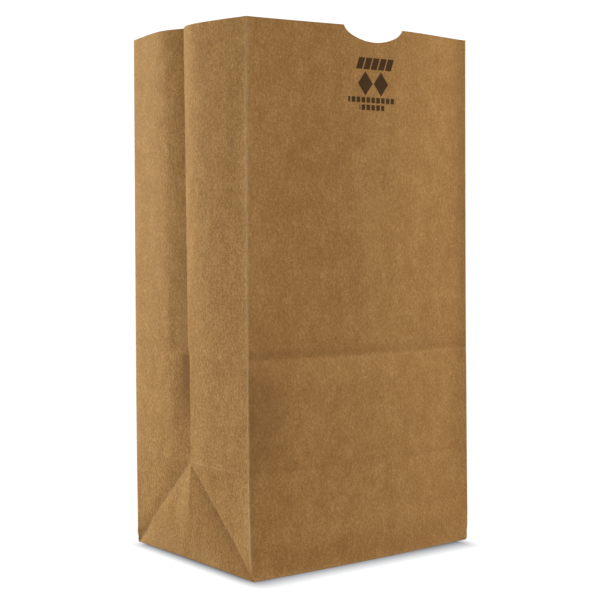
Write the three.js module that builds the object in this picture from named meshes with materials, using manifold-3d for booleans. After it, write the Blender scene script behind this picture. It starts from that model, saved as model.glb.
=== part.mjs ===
// Brown kraft paper grocery bag with a square bottom, standing open.
//
// The bag is one sheet of paper. It is wrapped into a tube with a gusset down each side,
// lapped and glued down the back panel, and closed by a bottom of mitred flaps.
// Stored flat, the bottom folds up against the front panel, and the gussets fold in.
// Opened, the sheet keeps every one of those folds, and stands as it is modelled here.
//
// Units are millimetres. The front panel, with the thumb cut, faces -Y. +Z is up.
// The origin is the middle of the bottom, on the surface that the bag stands on.

import * as THREE from "three";
import { mergeVertices } from "three/addons/utils/BufferGeometryUtils.js";
import Module from "manifold-3d";

const wasm = await Module();
wasm.setup();

// Trade sizes of the bag
const panelWidth = 209.55;
const gussetWidth = 155.6;
const bagHeight = 398;
const paperThickness = 0.3;

// The fold at the bottom's own height, the mark that the folded bottom pressed above it,
// and the faint mark of the bundle's band above that
const mitreHeight = 75;
const pressedFoldHeight = 156;
const bundleMarkHeight = 279;

// Bottom flaps: how far the front and rear flaps overlap under the middle of the bottom
const flapOverlap = 22;

// Lengthwise lap on the back panel, and its place from the left rear corner
const seamOverlap = 20;
const seamInset = 28;
const seamRamp = 3;

// Thumb cut in the front panel's mouth: a shallow arc between two steeper end arcs
const thumbCutWidth = 55.4;
const thumbCutDepth = 11.4;
const thumbCutFloorRadius = 50;
const thumbCutFloorShare = 0.76;
const thumbCutOffset = 2;

// How the opened paper stands: outward bellies at the mouth of each face
const frontBelly = 13.6;
const backBelly = 9;
const gussetFrontBelly = 8.2;
const gussetRearBelly = 7.6;

// How a belly grows with height (a power of the height) and where across a face it is fullest
const bellyGrowth = 0.7;
const rearBellyGrowth = 0.5;
const frontLeaning = 1.5;
const frontHalfSharpness = 5;
const rearHalfSharpness = 2.6;

// How far each upright fold stands from its place above the bottom's corner, at the mouth
const mouthShift = {
  frontLeft: new THREE.Vector2(1.4, 7.5),
  frontRight: new THREE.Vector2(-1.4, 2.7),
  rearLeft: new THREE.Vector2(2.6, 7.8),
  rearRight: new THREE.Vector2(-2.2, 5.4),
  creaseLeft: new THREE.Vector2(0.3, 7.5),
  creaseRight: new THREE.Vector2(-1.2, 4.5),
};

// The height over which each corner's fold leans into that place: low means an early lean
const leanHeight = {
  frontLeft: 90,
  frontRight: 400,
  rearLeft: 45,
  rearRight: 90,
};

// Between the two cross folds the gusset's crease is tucked in, deepest below the pressed fold
const creaseTuck = 2.8;
const creaseTuckAbove = 0.7;
const tuckSharpness = 8;

// The gusset's mitre triangle: its apex stands proud, its diagonals sink, its middle lifts
const apexProud = 1.7;
const triangleRidge = 1.3;
const mitreValley = 1.3;

// The cross folds: valleys on the front panel and low ridges on the front half gussets
const foldValley = 0.9;
const foldRidge = 0.5;
const bundleMarkShare = 0.5;
const foldSpread = 9;
const foldEndFade = 4;

// Facets: the half gusset has as many columns as the mitre zone has rows
const mitreSteps = 8;
const panelSteps = 16;
const stretchSteps = 3;
const thumbCutSteps = 6;

// How far the cutting shapes reach past the paper, and the least cosine that a mitre divides by
const cutterReach = 4;
const leastMitre = 0.5;

// Values worked out from the sizes above
const halfPanel = panelWidth / 2;
const halfGusset = gussetWidth / 2;
const floorThickness = 4 * paperThickness;
const flapLength = halfGusset + flapOverlap / 2;
const nearFold = foldSpread * 0.8;

// Bellies

// A crest that rises from u = 0 in a nearly straight line and falls faster towards u = 1.
function crest(u, sharpness) {
  const peakAt = Math.pow(1 / (sharpness + 1), 1 / sharpness);
  const peak = peakAt * (1 - Math.pow(peakAt, sharpness));
  return (u * (1 - Math.pow(u, sharpness))) / peak;
}

// The front panel's belly: flat by the left edge, fullest right of the middle.
function leaningSwell(u) {
  return Math.sin(Math.PI * Math.pow(u, frontLeaning));
}

function evenSwell(u) {
  return Math.sin(Math.PI * u);
}

function bellyShare(z, growth) {
  return Math.pow(z / bagHeight, growth);
}

// A sharp fold line at one height, dying away above and below it.
function foldProfile(z, height) {
  return Math.exp(-Math.abs(z - height) / foldSpread);
}

function crossFolds(z) {
  return foldProfile(z, mitreHeight) + foldProfile(z, pressedFoldHeight);
}

// How far the gusset's crease is tucked in at height z.
function tuckDepth(z) {
  if (z <= mitreHeight) {
    return 0;
  }
  const climb = (z - mitreHeight) / (pressedFoldHeight - mitreHeight);
  if (climb <= 1) {
    return creaseTuck * climb;
  }
  const release = Math.min((z - pressedFoldHeight) / nearFold, 1);
  const left = creaseTuckAbove * (bagHeight - z) / (bagHeight - pressedFoldHeight);
  return THREE.MathUtils.lerp(creaseTuck, left, release);
}

// Upright folds: the plan position of each of the six folds at height z

function cornerFold(signX, signY, name, z) {
  const shift = mouthShift[name];
  const reached = (height) => 1 - Math.exp(-height / leanHeight[name]);
  const lean = reached(z) / reached(bagHeight);
  return new THREE.Vector2(
    signX * halfPanel + shift.x * lean,
    signY * halfGusset + shift.y * lean,
  );
}

function gussetCrease(signX, shift, z) {
  if (z < mitreHeight) {
    const climb = z / mitreHeight;
    return new THREE.Vector2(signX * (halfPanel + apexProud * climb), 0);
  }
  const climb = (z - mitreHeight) / (bagHeight - mitreHeight);
  const proud = apexProud * (1 - climb) - tuckDepth(z);
  return new THREE.Vector2(
    signX * (halfPanel + proud) + shift.x * climb,
    shift.y * climb,
  );
}

// Section of the bag at one height, as a ring of points seen from above, anticlockwise

function panelSection(from, to, positions, rise) {
  const along = to.clone().sub(from);
  const outward = new THREE.Vector2(along.y, -along.x).normalize();
  return positions.map((u) => from.clone().addScaledVector(along, u).addScaledVector(outward, rise(u)));
}

// Half a gusset from its corner (u = 0) to its crease (u = 1), with the mitre zone below.
// The tuck moves the crease alone: the face keeps its place but for the last part before it.
function halfGussetRise(z, { belly, growth, sharpness, ridge }) {
  return (u) => {
    const folds = crossFolds(z) + bundleMarkShare * foldProfile(z, bundleMarkHeight);
    const fold = ridge * folds * evenSwell(u);
    const fullness = belly * bellyShare(z, growth);
    if (z >= mitreHeight) {
      const tuck = tuckDepth(z) * (u - Math.pow(u, tuckSharpness));
      return fullness * crest(u, sharpness) + fold + tuck;
    }
    const climb = z / mitreHeight;
    const swell = 4 * climb * (1 - climb);
    if (u <= climb) {
      const across = climb > 0 ? u / climb : 0;
      const blend = fullness * climb * crest(across, sharpness);
      return blend - mitreValley * swell * across + fold * climb;
    }
    const across = (u - climb) / (1 - climb);
    return THREE.MathUtils.lerp(-mitreValley, triangleRidge, across) * swell;
  };
}

function evenSteps(count) {
  return Array.from({ length: count }, (_, i) => i / count);
}

// Column places across the back panel, with a pair at each edge of the lap.
function seamPlaces() {
  const outerEdge = 1 - seamInset / panelWidth;
  const innerEdge = outerEdge - seamOverlap / panelWidth;
  const ramp = seamRamp / panelWidth;
  const sliver = paperThickness / 3 / panelWidth;
  return { outerEdge, innerEdge, ramp, sliver };
}

function backPlaces() {
  const { outerEdge, innerEdge, ramp, sliver } = seamPlaces();
  const lap = [innerEdge - ramp, innerEdge - sliver, innerEdge, outerEdge, outerEdge + sliver];
  const clear = 1 / (2.5 * panelSteps);
  const rest = evenSteps(panelSteps).filter((u) => lap.every((edge) => Math.abs(u - edge) > clear));
  return rest.concat(lap).sort((a, b) => a - b);
}

// Height of the outer sheet over the inner one: it ramps up, lies on the lap, and is cut off.
function outerLift(u) {
  const { outerEdge, innerEdge, ramp } = seamPlaces();
  if (u < innerEdge - ramp || u > outerEdge) {
    return 0;
  }
  return paperThickness * Math.min((u - innerEdge + ramp) / ramp, 1);
}

// The inside face follows the outer sheet up the ramp, and drops at the inner sheet's edge.
function innerLift(u) {
  const { innerEdge } = seamPlaces();
  return u < innerEdge ? outerLift(u) : 0;
}

function sectionFolds(z) {
  return {
    frontLeft: cornerFold(-1, -1, "frontLeft", z),
    frontRight: cornerFold(1, -1, "frontRight", z),
    creaseRight: gussetCrease(1, mouthShift.creaseRight, z),
    rearRight: cornerFold(1, 1, "rearRight", z),
    rearLeft: cornerFold(-1, 1, "rearLeft", z),
    creaseLeft: gussetCrease(-1, mouthShift.creaseLeft, z),
  };
}

function frontRise(z) {
  return (u) => {
    const edgeFree = Math.min(1, evenSwell(u) * foldEndFade);
    const fullness = frontBelly * bellyShare(z, bellyGrowth);
    return fullness * leaningSwell(u) - foldValley * crossFolds(z) * edgeFree;
  };
}

function section(z, lift) {
  const folds = sectionFolds(z);
  const half = evenSteps(mitreSteps);
  const frontHalf = halfGussetRise(z, {
    belly: gussetFrontBelly,
    growth: bellyGrowth,
    sharpness: frontHalfSharpness,
    ridge: foldRidge,
  });
  const rearHalf = halfGussetRise(z, {
    belly: gussetRearBelly,
    growth: rearBellyGrowth,
    sharpness: rearHalfSharpness,
    ridge: 0,
  });
  const fromCrease = (rise) => (u) => rise(1 - u);
  const back = (u) => backBelly * bellyShare(z, bellyGrowth) * evenSwell(u) + lift(u);
  return [
    ...panelSection(folds.frontLeft, folds.frontRight, evenSteps(panelSteps), frontRise(z)),
    ...panelSection(folds.frontRight, folds.creaseRight, half, frontHalf),
    ...panelSection(folds.creaseRight, folds.rearRight, half, fromCrease(rearHalf)),
    ...panelSection(folds.rearRight, folds.rearLeft, backPlaces(), back),
    ...panelSection(folds.rearLeft, folds.creaseLeft, half, rearHalf),
    ...panelSection(folds.creaseLeft, folds.frontLeft, half, fromCrease(frontHalf)),
  ];
}

// The inside face of the same section, one paper thickness in, mitred at every fold.
function insideSection(z) {
  const ring = section(z, innerLift);
  const count = ring.length;
  return ring.map((point, i) => {
    const before = ring[(i + count - 1) % count];
    const after = ring[(i + 1) % count];
    const into = new THREE.Vector2().subVectors(point, before).normalize();
    const out = new THREE.Vector2().subVectors(after, point).normalize();
    const inward = new THREE.Vector2(-into.y - out.y, into.x + out.x).normalize();
    const cosHalf = inward.dot(new THREE.Vector2(-into.y, into.x));
    return point.clone().addScaledVector(inward, paperThickness / Math.max(cosHalf, leastMitre));
  });
}

// Walls

// Heights of the rows of facets: even in the mitre zone, then even between the folds,
// with a row on each fold and one just above it and below it.
function rowHeights() {
  const heights = [];
  for (let i = 0; i <= mitreSteps; i += 1) {
    heights.push((mitreHeight * i) / mitreSteps);
  }
  const stretches = [
    [mitreHeight + nearFold, pressedFoldHeight - nearFold],
    [pressedFoldHeight + nearFold, bundleMarkHeight - nearFold],
    [bundleMarkHeight + nearFold, bagHeight],
  ];
  const foldsBetween = [pressedFoldHeight, bundleMarkHeight];
  for (const [low, high] of stretches) {
    for (let i = 0; i <= stretchSteps; i += 1) {
      heights.push(THREE.MathUtils.lerp(low, high, i / stretchSteps));
    }
    heights.push(...foldsBetween.splice(0, 1));
  }
  return heights;
}

// Joins rings of points into one closed skin: outside up, over the rim, inside down.
function sheetSolid() {
  const heights = rowHeights();
  const rings = heights.map((z) => section(z, outerLift).map((p) => [p.x, p.y, z]));
  const insideHeights = heights.map((z) => Math.max(z, floorThickness));
  const inside = insideHeights.map((z) => insideSection(z).map((p) => [p.x, p.y, z]));
  rings.push(...inside.reverse());
  const columns = rings[0].length;
  const positions = rings.flat(2);
  const triangles = [];
  const risesLeft = diagonalsRiseLeft();
  for (let row = 0; row + 1 < rings.length; row += 1) {
    for (let column = 0; column < columns; column += 1) {
      const next = (column + 1) % columns;
      const a = row * columns + column;
      const b = row * columns + next;
      const c = a + columns;
      const d = b + columns;
      const outside = row < heights.length;
      if (risesLeft(column) === outside) {
        triangles.push(a, b, c, b, d, c);
      } else {
        triangles.push(a, b, d, a, d, c);
      }
    }
  }
  const lastRing = (rings.length - 1) * columns;
  const bottom = triangulate(rings[0]);
  const floor = triangulate(rings[rings.length - 1]);
  triangles.push(...bottom.flatMap(([a, b, c]) => [a, c, b]));
  triangles.push(...floor.flatMap(([a, b, c]) => [lastRing + a, lastRing + b, lastRing + c]));
  return toManifold(positions, triangles);
}

// Facets are split so that their edges lie along the gusset's diagonal folds. In the columns
// from a corner to the crease after it a diagonal rises to the right, elsewhere to the left.
function diagonalsRiseLeft() {
  const secondCorner = panelSteps;
  const fourthCorner = panelSteps + 2 * mitreSteps + backPlaces().length;
  const isAfter = (column, corner) => column >= corner && column < corner + mitreSteps;
  return (column) => !isAfter(column, secondCorner) && !isAfter(column, fourthCorner);
}

function triangulate(ring) {
  const outline = ring.map(([x, y]) => new THREE.Vector2(x, y));
  return THREE.ShapeUtils.triangulateShape(outline, []);
}

// Solids

function toManifold(positions, triangles) {
  const mesh = new wasm.Mesh({
    numProp: 3,
    vertProperties: Float32Array.from(positions),
    triVerts: Uint32Array.from(triangles),
  });
  return new wasm.Manifold(mesh);
}

// An upright prism over a plan outline, from height low to height high.
function prism(outline, low, high) {
  const shape = new THREE.Shape(outline.map(([x, y]) => new THREE.Vector2(x, y)));
  const geometry = new THREE.ExtrudeGeometry(shape, { depth: high - low, bevelEnabled: false });
  geometry.translate(0, 0, low);
  return geometryManifold(geometry);
}

function geometryManifold(geometry) {
  geometry.deleteAttribute("normal");
  geometry.deleteAttribute("uv");
  const merged = mergeVertices(geometry, 1e-4);
  return toManifold(merged.attributes.position.array, merged.index.array);
}

// Bottom: the flaps are glued into one board, and their edges stay as steps

// Under the gusset side only the side flap is there, so the board is one sheet thick.
function sideRecess(signX) {
  const edge = signX * halfPanel;
  const beyond = edge + signX * cutterReach;
  const reach = Math.min(halfGusset, halfPanel);
  const outline = [
    [beyond, -halfGusset],
    [edge, -halfGusset],
    [edge - signX * reach, 0],
    [edge, halfGusset],
    [beyond, halfGusset],
  ];
  return prism(outline, -cutterReach, 3 * paperThickness);
}

// The rear flap lies over the front flap, so its underside is one sheet higher.
function rearRecess() {
  const reach = Math.min(flapLength + thumbCutDepth, halfPanel);
  const end = -halfGusset + reach;
  const tip = halfPanel - reach;
  const shoulder = halfPanel - Math.min(halfGusset, halfPanel);
  const outline = [
    [-halfPanel, halfGusset],
    [-shoulder, 0],
    [-tip, end],
    [tip, end],
    [shoulder, 0],
    [halfPanel, halfGusset],
    [halfPanel, halfGusset + cutterReach],
    [-halfPanel, halfGusset + cutterReach],
  ];
  return prism(outline, -cutterReach, paperThickness);
}

// Inside, the ends of the two side flaps leave a shallow channel between them.
function floorChannel() {
  const half = Math.max(halfPanel - flapLength, 2 * paperThickness);
  const run = halfGusset - 2 * paperThickness;
  const outline = [
    [-half, -run],
    [half, -run],
    [half, run],
    [-half, run],
  ];
  return prism(outline, 2 * paperThickness, floorThickness + cutterReach);
}

// Mouth: the thumb cut, drawn in the panel's own plane and pushed through the front face

function thumbCutOutline() {
  const half = thumbCutWidth / 2;
  const floorHalf = half * thumbCutFloorShare;
  const dip = (x) => thumbCutFloorRadius - Math.sqrt(thumbCutFloorRadius ** 2 - x ** 2);
  const shoulderDepth = thumbCutDepth - dip(floorHalf);
  const slope = Math.asin(floorHalf / thumbCutFloorRadius);
  const chord = Math.atan2(shoulderDepth, half - floorHalf);
  const turn = 2 * (chord - slope);
  const endRadius = Math.hypot(half - floorHalf, shoulderDepth) / (2 * Math.sin(turn / 2));
  const points = [];
  for (let i = 0; i < thumbCutSteps; i += 1) {
    const angle = slope + (turn * (thumbCutSteps - i)) / thumbCutSteps;
    const x = floorHalf + endRadius * (Math.sin(angle) - Math.sin(slope));
    const depth = shoulderDepth - endRadius * (Math.cos(slope) - Math.cos(angle));
    points.push([x, depth]);
  }
  for (let i = 0; i <= thumbCutSteps; i += 1) {
    const x = floorHalf * (1 - i / thumbCutSteps);
    points.push([x, thumbCutDepth - dip(x)]);
  }
  const mirrored = points.slice(0, -1).reverse().map(([x, depth]) => [-x, depth]);
  return points.concat(mirrored);
}

function thumbCut() {
  const half = thumbCutWidth / 2;
  const outline = [[half, -cutterReach], ...thumbCutOutline(), [-half, -cutterReach]];
  const shape = new THREE.Shape(outline.map(([x, depth]) => new THREE.Vector2(x, -depth)));
  const reach = frontBelly + halfGusset;
  const geometry = new THREE.ExtrudeGeometry(shape, { depth: reach, bevelEnabled: false });
  geometry.rotateX(Math.PI / 2);
  geometry.translate(thumbCutOffset, 0, bagHeight);
  return geometryManifold(geometry);
}

// The bag

function paperBag() {
  const cutters = [sideRecess(-1), sideRecess(1), rearRecess(), floorChannel(), thumbCut()];
  const solid = cutters.reduce((bag, cutter) => bag.subtract(cutter), sheetSolid());
  const result = solid.getMesh();
  const geometry = new THREE.BufferGeometry();
  geometry.setAttribute("position", new THREE.BufferAttribute(result.vertProperties, 3));
  geometry.setIndex(new THREE.BufferAttribute(result.triVerts, 1));
  geometry.computeVertexNormals();
  const kraft = new THREE.MeshStandardMaterial({ color: 0xa17a48, roughness: 0.85, metalness: 0 });
  const mesh = new THREE.Mesh(geometry, kraft);
  mesh.name = "paper_bag";
  return mesh;
}

const bag = new THREE.Group();
bag.add(paperBag());

export default bag;
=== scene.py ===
"""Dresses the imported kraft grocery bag: the folded tube, its back lap, its bottom and the stage."""

import math

import bpy
import numpy as np
from bpy.props import FloatProperty, FloatVectorProperty, IntProperty, PointerProperty
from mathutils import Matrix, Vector


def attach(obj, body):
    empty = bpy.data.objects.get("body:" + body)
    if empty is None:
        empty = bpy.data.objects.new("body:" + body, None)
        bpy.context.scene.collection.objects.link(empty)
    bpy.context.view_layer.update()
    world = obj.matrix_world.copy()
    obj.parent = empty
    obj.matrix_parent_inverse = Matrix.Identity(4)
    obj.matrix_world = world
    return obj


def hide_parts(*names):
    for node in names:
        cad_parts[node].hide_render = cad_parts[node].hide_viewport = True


bl_info = {
    "name": "Kraft Grocery Bag",
    "version": (1, 0, 0),
    "blender": (4, 5, 0),
    "location": "3D View > Sidebar > Kraft Bag",
    "description": "Builds an opened kraft paper bag from the sizes of its sheet",
    "category": "Object",
}

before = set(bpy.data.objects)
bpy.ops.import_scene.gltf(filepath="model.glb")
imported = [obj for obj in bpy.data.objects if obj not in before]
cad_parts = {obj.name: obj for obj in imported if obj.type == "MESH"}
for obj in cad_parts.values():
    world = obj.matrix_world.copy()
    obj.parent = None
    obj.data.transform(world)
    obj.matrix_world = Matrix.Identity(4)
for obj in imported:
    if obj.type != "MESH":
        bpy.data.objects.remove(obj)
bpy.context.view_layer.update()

NODE = "paper_bag"
BODY = "root"
MM = 0.001
IMAGE_SIZE = 600


# Sizes and looks that a user would change

class BagSizes(bpy.types.PropertyGroup):
    """Sizes of the flat sheet and its folds"""

    panel_width: FloatProperty(
        name="Panel width", description="Width of the front and back panels",
        default=0.20955, min=0.05, unit="LENGTH")
    gusset_width: FloatProperty(
        name="Gusset width", description="Full width of each side gusset",
        default=0.1556, min=0.03, unit="LENGTH")
    bag_height: FloatProperty(
        name="Height", description="Height of the open bag",
        default=0.398, min=0.1, unit="LENGTH")
    paper_thickness: FloatProperty(
        name="Paper thickness", description="Thickness of one sheet",
        default=0.0003, min=0.0001, unit="LENGTH")
    mitre_height: FloatProperty(
        name="Mitre height", description="Height of the fold that the bottom is stored along",
        default=0.075, min=0.01, unit="LENGTH")
    pressed_fold_height: FloatProperty(
        name="Pressed fold height", description="Height of the mark left by the stored bottom",
        default=0.156, min=0.02, unit="LENGTH")
    bundle_mark_height: FloatProperty(
        name="Bundle mark height", description="Height of the faint mark from the bundle",
        default=0.279, min=0.02, unit="LENGTH")
    flap_overlap: FloatProperty(
        name="Flap overlap", description="Overlap of the front and rear bottom flaps",
        default=0.022, min=0.0, unit="LENGTH")
    seam_overlap: FloatProperty(
        name="Lap width", description="Width of the glued lap on the back panel",
        default=0.020, min=0.005, unit="LENGTH")
    seam_inset: FloatProperty(
        name="Lap inset", description="Distance of the lap's free edge from the left rear fold",
        default=0.028, min=0.0, unit="LENGTH")
    cut_width: FloatProperty(
        name="Thumb cut width", description="Width of the thumb cut in the mouth",
        default=0.0554, min=0.0, unit="LENGTH")
    cut_depth: FloatProperty(
        name="Thumb cut depth", description="Depth of the thumb cut in the mouth",
        default=0.0110, min=0.0, unit="LENGTH")
    cut_offset: FloatProperty(
        name="Thumb cut offset", description="How far the cut stands right of the panel's middle",
        default=0.0028, unit="LENGTH")


class BagForm(bpy.types.PropertyGroup):
    """How the opened sheet stands"""

    front_belly: FloatProperty(
        name="Front belly", description="Bulge of the front panel at the mouth",
        default=0.0136, unit="LENGTH")
    back_belly: FloatProperty(
        name="Back belly", description="Bulge of the back panel at the mouth",
        default=0.009, unit="LENGTH")
    gusset_front_belly: FloatProperty(
        name="Front half belly", description="Bulge of each gusset's front half at the mouth",
        default=0.0082, unit="LENGTH")
    gusset_rear_belly: FloatProperty(
        name="Rear half belly", description="Bulge of each gusset's rear half at the mouth",
        default=0.0076, unit="LENGTH")
    fold_radius: FloatProperty(
        name="Fold radius", description="Roundness of the upright folds",
        default=0.0005, min=0.0001, unit="LENGTH")
    ripple_height: FloatProperty(
        name="Ripple", description="Height of the slow waves in the paper",
        default=0.00035, unit="LENGTH")
    crumple_height: FloatProperty(
        name="Crumple", description="Height of the small dents at the bottom corners",
        default=0.00035, unit="LENGTH")
    seed: IntProperty(
        name="Seed", description="Chooses the pattern of ripples", default=7, min=0)


class PaperLooks(bpy.types.PropertyGroup):
    """Colours of the kraft paper and its ink"""

    kraft: FloatVectorProperty(
        name="Kraft", description="Middle colour of the paper", subtype="COLOR",
        default=(0.400, 0.205, 0.062), size=3, min=0.0, max=1.0)
    kraft_dark: FloatVectorProperty(
        name="Dark fibre", description="Colour of the darker fibres", subtype="COLOR",
        default=(0.265, 0.121, 0.035), size=3, min=0.0, max=1.0)
    kraft_light: FloatVectorProperty(
        name="Light fibre", description="Colour of the lighter fibres and worn folds",
        subtype="COLOR", default=(0.560, 0.325, 0.125), size=3, min=0.0, max=1.0)
    # Colour of worn folds, and of the light and highlights painted on the sheet
    worn_and_painted_light: FloatVectorProperty(
        name="Worn fold", description="Colour of the scuffed folds", subtype="COLOR",
        default=(0.640, 0.420, 0.205), size=3, min=0.0, max=1.0)
    # Colour of the shade painted into creases and hollows
    painted_crease_shade: FloatVectorProperty(
        name="Crease", description="Colour of the paper in a dark crease", subtype="COLOR",
        default=(0.200, 0.085, 0.030), size=3, min=0.0, max=1.0)
    cloud_contrast: FloatProperty(
        name="Cloud contrast", description="Strength of the wide pale and dark patches",
        default=1.1, min=0.0)
    fibre_contrast: FloatProperty(
        name="Fibre contrast", description="Strength of the single fibres",
        default=0.95, min=0.0)
    grain_contrast: FloatProperty(
        name="Grain contrast", description="Strength of the finest grain",
        default=1.4, min=0.0)
    ink: FloatVectorProperty(
        name="Ink", description="Colour of the printed block", subtype="COLOR",
        default=(0.040, 0.016, 0.004), size=3, min=0.0, max=1.0)


class StageLooks(bpy.types.PropertyGroup):
    """Lights, floor and camera"""

    key_power: FloatProperty(
        name="Key light", description="Power of the soft light at the left rear, in watts",
        default=32.0, min=0.0)
    fill_power: FloatProperty(
        name="Fill light", description="Power of the soft light at the right front, in watts",
        default=25.0, min=0.0)
    side_power: FloatProperty(
        name="Side light", description="Power of the soft light at the left, in watts",
        default=6.0, min=0.0)
    sky_near: FloatProperty(
        name="Surround by the camera", description="Brightness of the surround on the camera's side",
        default=0.10, min=0.0)
    sky_far: FloatProperty(
        name="Surround behind", description="Brightness of the surround behind the bag",
        default=0.3, min=0.0)
    top_power: FloatProperty(
        name="Top light", description="Power of the soft light above, in watts",
        default=20.0, min=0.0)
    focal_pixels: FloatProperty(
        name="Focal length", description="Focal length of the photograph, in pixels",
        default=1346.0, min=100.0)


# Form of the opened sheet

# Height over which each upright fold leans into its place at the mouth: low means an early lean
LEAN_HEIGHT = {
    "front_left": 90 * MM,
    "front_right": 400 * MM,
    "rear_left": 45 * MM,
    "rear_right": 90 * MM,
}

# How far each upright fold stands from its place above the bottom's corner, at the mouth
MOUTH_SHIFT = {
    "front_left": (2.4 * MM, 7.5 * MM),
    "front_right": (-3.4 * MM, 2.7 * MM),
    "rear_left": (2.6 * MM, 7.8 * MM),
    "rear_right": (-2.2 * MM, 5.4 * MM),
    "crease_left": (-0.8 * MM, 7.5 * MM),
    "crease_right": (-1.2 * MM, 4.5 * MM),
}

# How far each upright fold stands outside its nominal line all the way up
STAND_OUT = {"front_left": 1.5 * MM, "front_right": 3.3 * MM, "rear_left": 0.4 * MM, "rear_right": 0}

# How far each bottom corner is pushed out of place on the table, and how fast that dies away
CORNER_PUSH = {
    "front_left": (0.2 * MM, -3.2 * MM),
    "front_right": (-1.5 * MM, 0.3 * MM),
    "rear_left": (-1.2 * MM, -0.4 * MM),
    "rear_right": (-0.6 * MM, -0.8 * MM),
}
PUSH_HEIGHT = {
    "front_left": 7 * MM,
    "front_right": 4 * MM,
    "rear_left": 30 * MM,
    "rear_right": 7 * MM,
}

# How deep the diagonal folds are pinched by each bottom corner, and at what height
CORNER_PINCH = {
    "front_left": (3.0 * MM, 18 * MM),
    "front_right": (1.6 * MM, 14 * MM),
    "rear_left": (2.4 * MM, 8 * MM),
    "rear_right": (1.8 * MM, 12 * MM),
}

# Bellies: how each grows, as a power of the height, and where across a face it is fullest
BELLY_GROWTH = 0.7
REAR_BELLY_GROWTH = 0.5
FRONT_HALF_GROWTH = 1.15
FRONT_HALF_SHARPNESS = 3.6
FRONT_LEANING = 1.5

# Slopes across the rear half of the gusset, from its corner fold to its crease, low down and at
# the mouth, and the heights between which the one form turns into the other
REAR_HALF_LOW = ((0, 0.2, 0.4, 0.62, 0.7, 0.78, 0.85, 1), (14.5, 10.5, 5.5, 1.5, 0, -15, -24, -30))
REAR_HALF_TOP = ((0, 0.22, 0.4, 0.53, 0.62, 0.7, 0.76, 0.83, 0.9, 1),
                 (18, 17, 14, 12, 8, -1, -10, -27, -33, -50))
REAR_HALF_TURN = (180 * MM, 330 * MM)
CREST_SAMPLES = 201

# Dent of the rear half beside the crease, from just above the pressed fold upward
REAR_DENT = 0.8 * MM
REAR_DENT_START = 3 * MM
REAR_DENT_FADE = 20 * MM
REAR_DENT_TOP = 230 * MM
REAR_DENT_EDGE = (0.765, 0.805)
REAR_DENT_SHARPNESS = 6

# Tuck of the gusset's crease: inward up to the pressed fold, and outward above it
TUCK = 0.5 * MM
TUCK_ABOVE = -0.9 * MM
TUCK_RELEASE = 3.5 * MM
TUCK_SHARPNESS = 14

# Mitre triangle: its apex and its middle stand proud, and its diagonals sink
APEX_PROUD = 1.1 * MM
TRIANGLE_RIDGE = 2.8 * MM
RIDGE_POWER = {"front": 1.0, "rear": 3.0}
MITRE_VALLEY = 1.3 * MM

# Slope of the paper down to a diagonal, outside the triangle and inside it
EDGE_SLOPE = 0.14
FLANK_SLOPE = {"front": 0.30, "rear": 0.20}
STEEPEST_POWER = 9

# Score line up the middle of the triangle, and the share of its height that it fades over
SCORE_DEPTH = 0.06 * MM
SCORE_WIDTH = 0.7 * MM
SCORE_FADE = 0.15

# Cross folds: valleys on the front panel and ridges on the front half gussets. They die away
# over the spread, and beside a panel's edge they reach full depth sooner with a higher hold
FOLD_VALLEY = 1.7 * MM
MITRE_FOLD_SHARE = 0.4
FOLD_RIDGE = 0.8 * MM
PRESSED_RIDGE = 1.4 * MM
BUNDLE_RIDGE = 0.4 * MM
FOLD_SPREAD = 9 * MM
LOWER_SPREAD = 16 * MM
EDGE_HOLD = 4

# Slight hollow of the front half gusset along its corner fold
FRONT_STRIP = 0.35 * MM
STRIP_PEAK = 0.10

# Swell at the left of the front panel below the pressed fold: where across it is highest, where
# it is full above the table, and where it ends below and above the fold
LOW_SWELL = 4.4 * MM
LOW_SWELL_PEAK = 0.22
LOW_SWELL_START = 25 * MM
LOW_SWELL_BELOW = 20 * MM
LOW_SWELL_ABOVE = 6 * MM

# Slight swell by the left edge above that fold, with its middle height and reach
EDGE_SWELL = 0.9 * MM
EDGE_SWELL_PEAK = 0.10
EDGE_SWELL_HEIGHT = (195 * MM, 45 * MM)

# Hollow beside the right edge, which makes that edge flare, as shares from the right
RIGHT_FLARE = 5.2 * MM
FLARE_GROWTH = 0.4
FLARE_BEND = 0.065
FLARE_FADE = (0.1, 0.75)

# Lobe left of the middle: its rise and fall across the panel, its middle height and reach
LOBE = 1.6 * MM
LOBE_RISE = (0.12, 0.47)
LOBE_FALL = (0.47, 0.56)
LOBE_HEIGHT = (222 * MM, 40 * MM)

# Bow of the front bottom edge and the height it dies away at, the turn of every wall into the
# bottom, and how far the flaps stay inside the walls
FOOT_BOW = 3.0 * MM
FOOT_BOW_TOP = 60 * MM
BOTTOM_RADIUS = 1.0 * MM
FLAP_INSET = 0.9 * MM

# Thumb cut: radius of its shallow floor, the floor's share of the width, and how many depths of
# the cut the rows below it are drawn down over
CUT_FLOOR_RADIUS = 50 * MM
CUT_FLOOR_SHARE = 0.76
CUT_DRAW = 2.6

# Waves of the paper: shortest and longest length, and how many
SLOW_RIPPLES = (45 * MM, 140 * MM, 9)
SLOW_STRETCH = 1.8
DENTS = (6 * MM, 16 * MM, 10)
LAP_WAVES = (18 * MM, 60 * MM, 6)
FLAP_WAVES = (20 * MM, 60 * MM, 7)

# What is added to the user's seed for each of them
DENT_SEED = 1
LAP_SEED = 4
FLAP_SEED = 9

# Where the ripples are calm, beside a fold and above the table, and where the dents reach
CALM_BESIDE_FOLD = 14 * MM
CALM_FOOT = 30 * MM
DENT_REACH = 13 * MM
DENT_HEIGHT = 11 * MM
DENT_FOOT = 2 * MM

# Half gussets that start at their corner fold and not at their crease, going round the sheet
CORNER_FIRST = ("right_front", "left_rear")

# Which of the seven upright folds along the sheet stand on a corner of the bottom
CORNER_FOLDS = [0, 1, 3, 4, 6]

# Keeps a division from zero, and takes up the rounding of a height
TINY = 1e-9


# Curves

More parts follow.
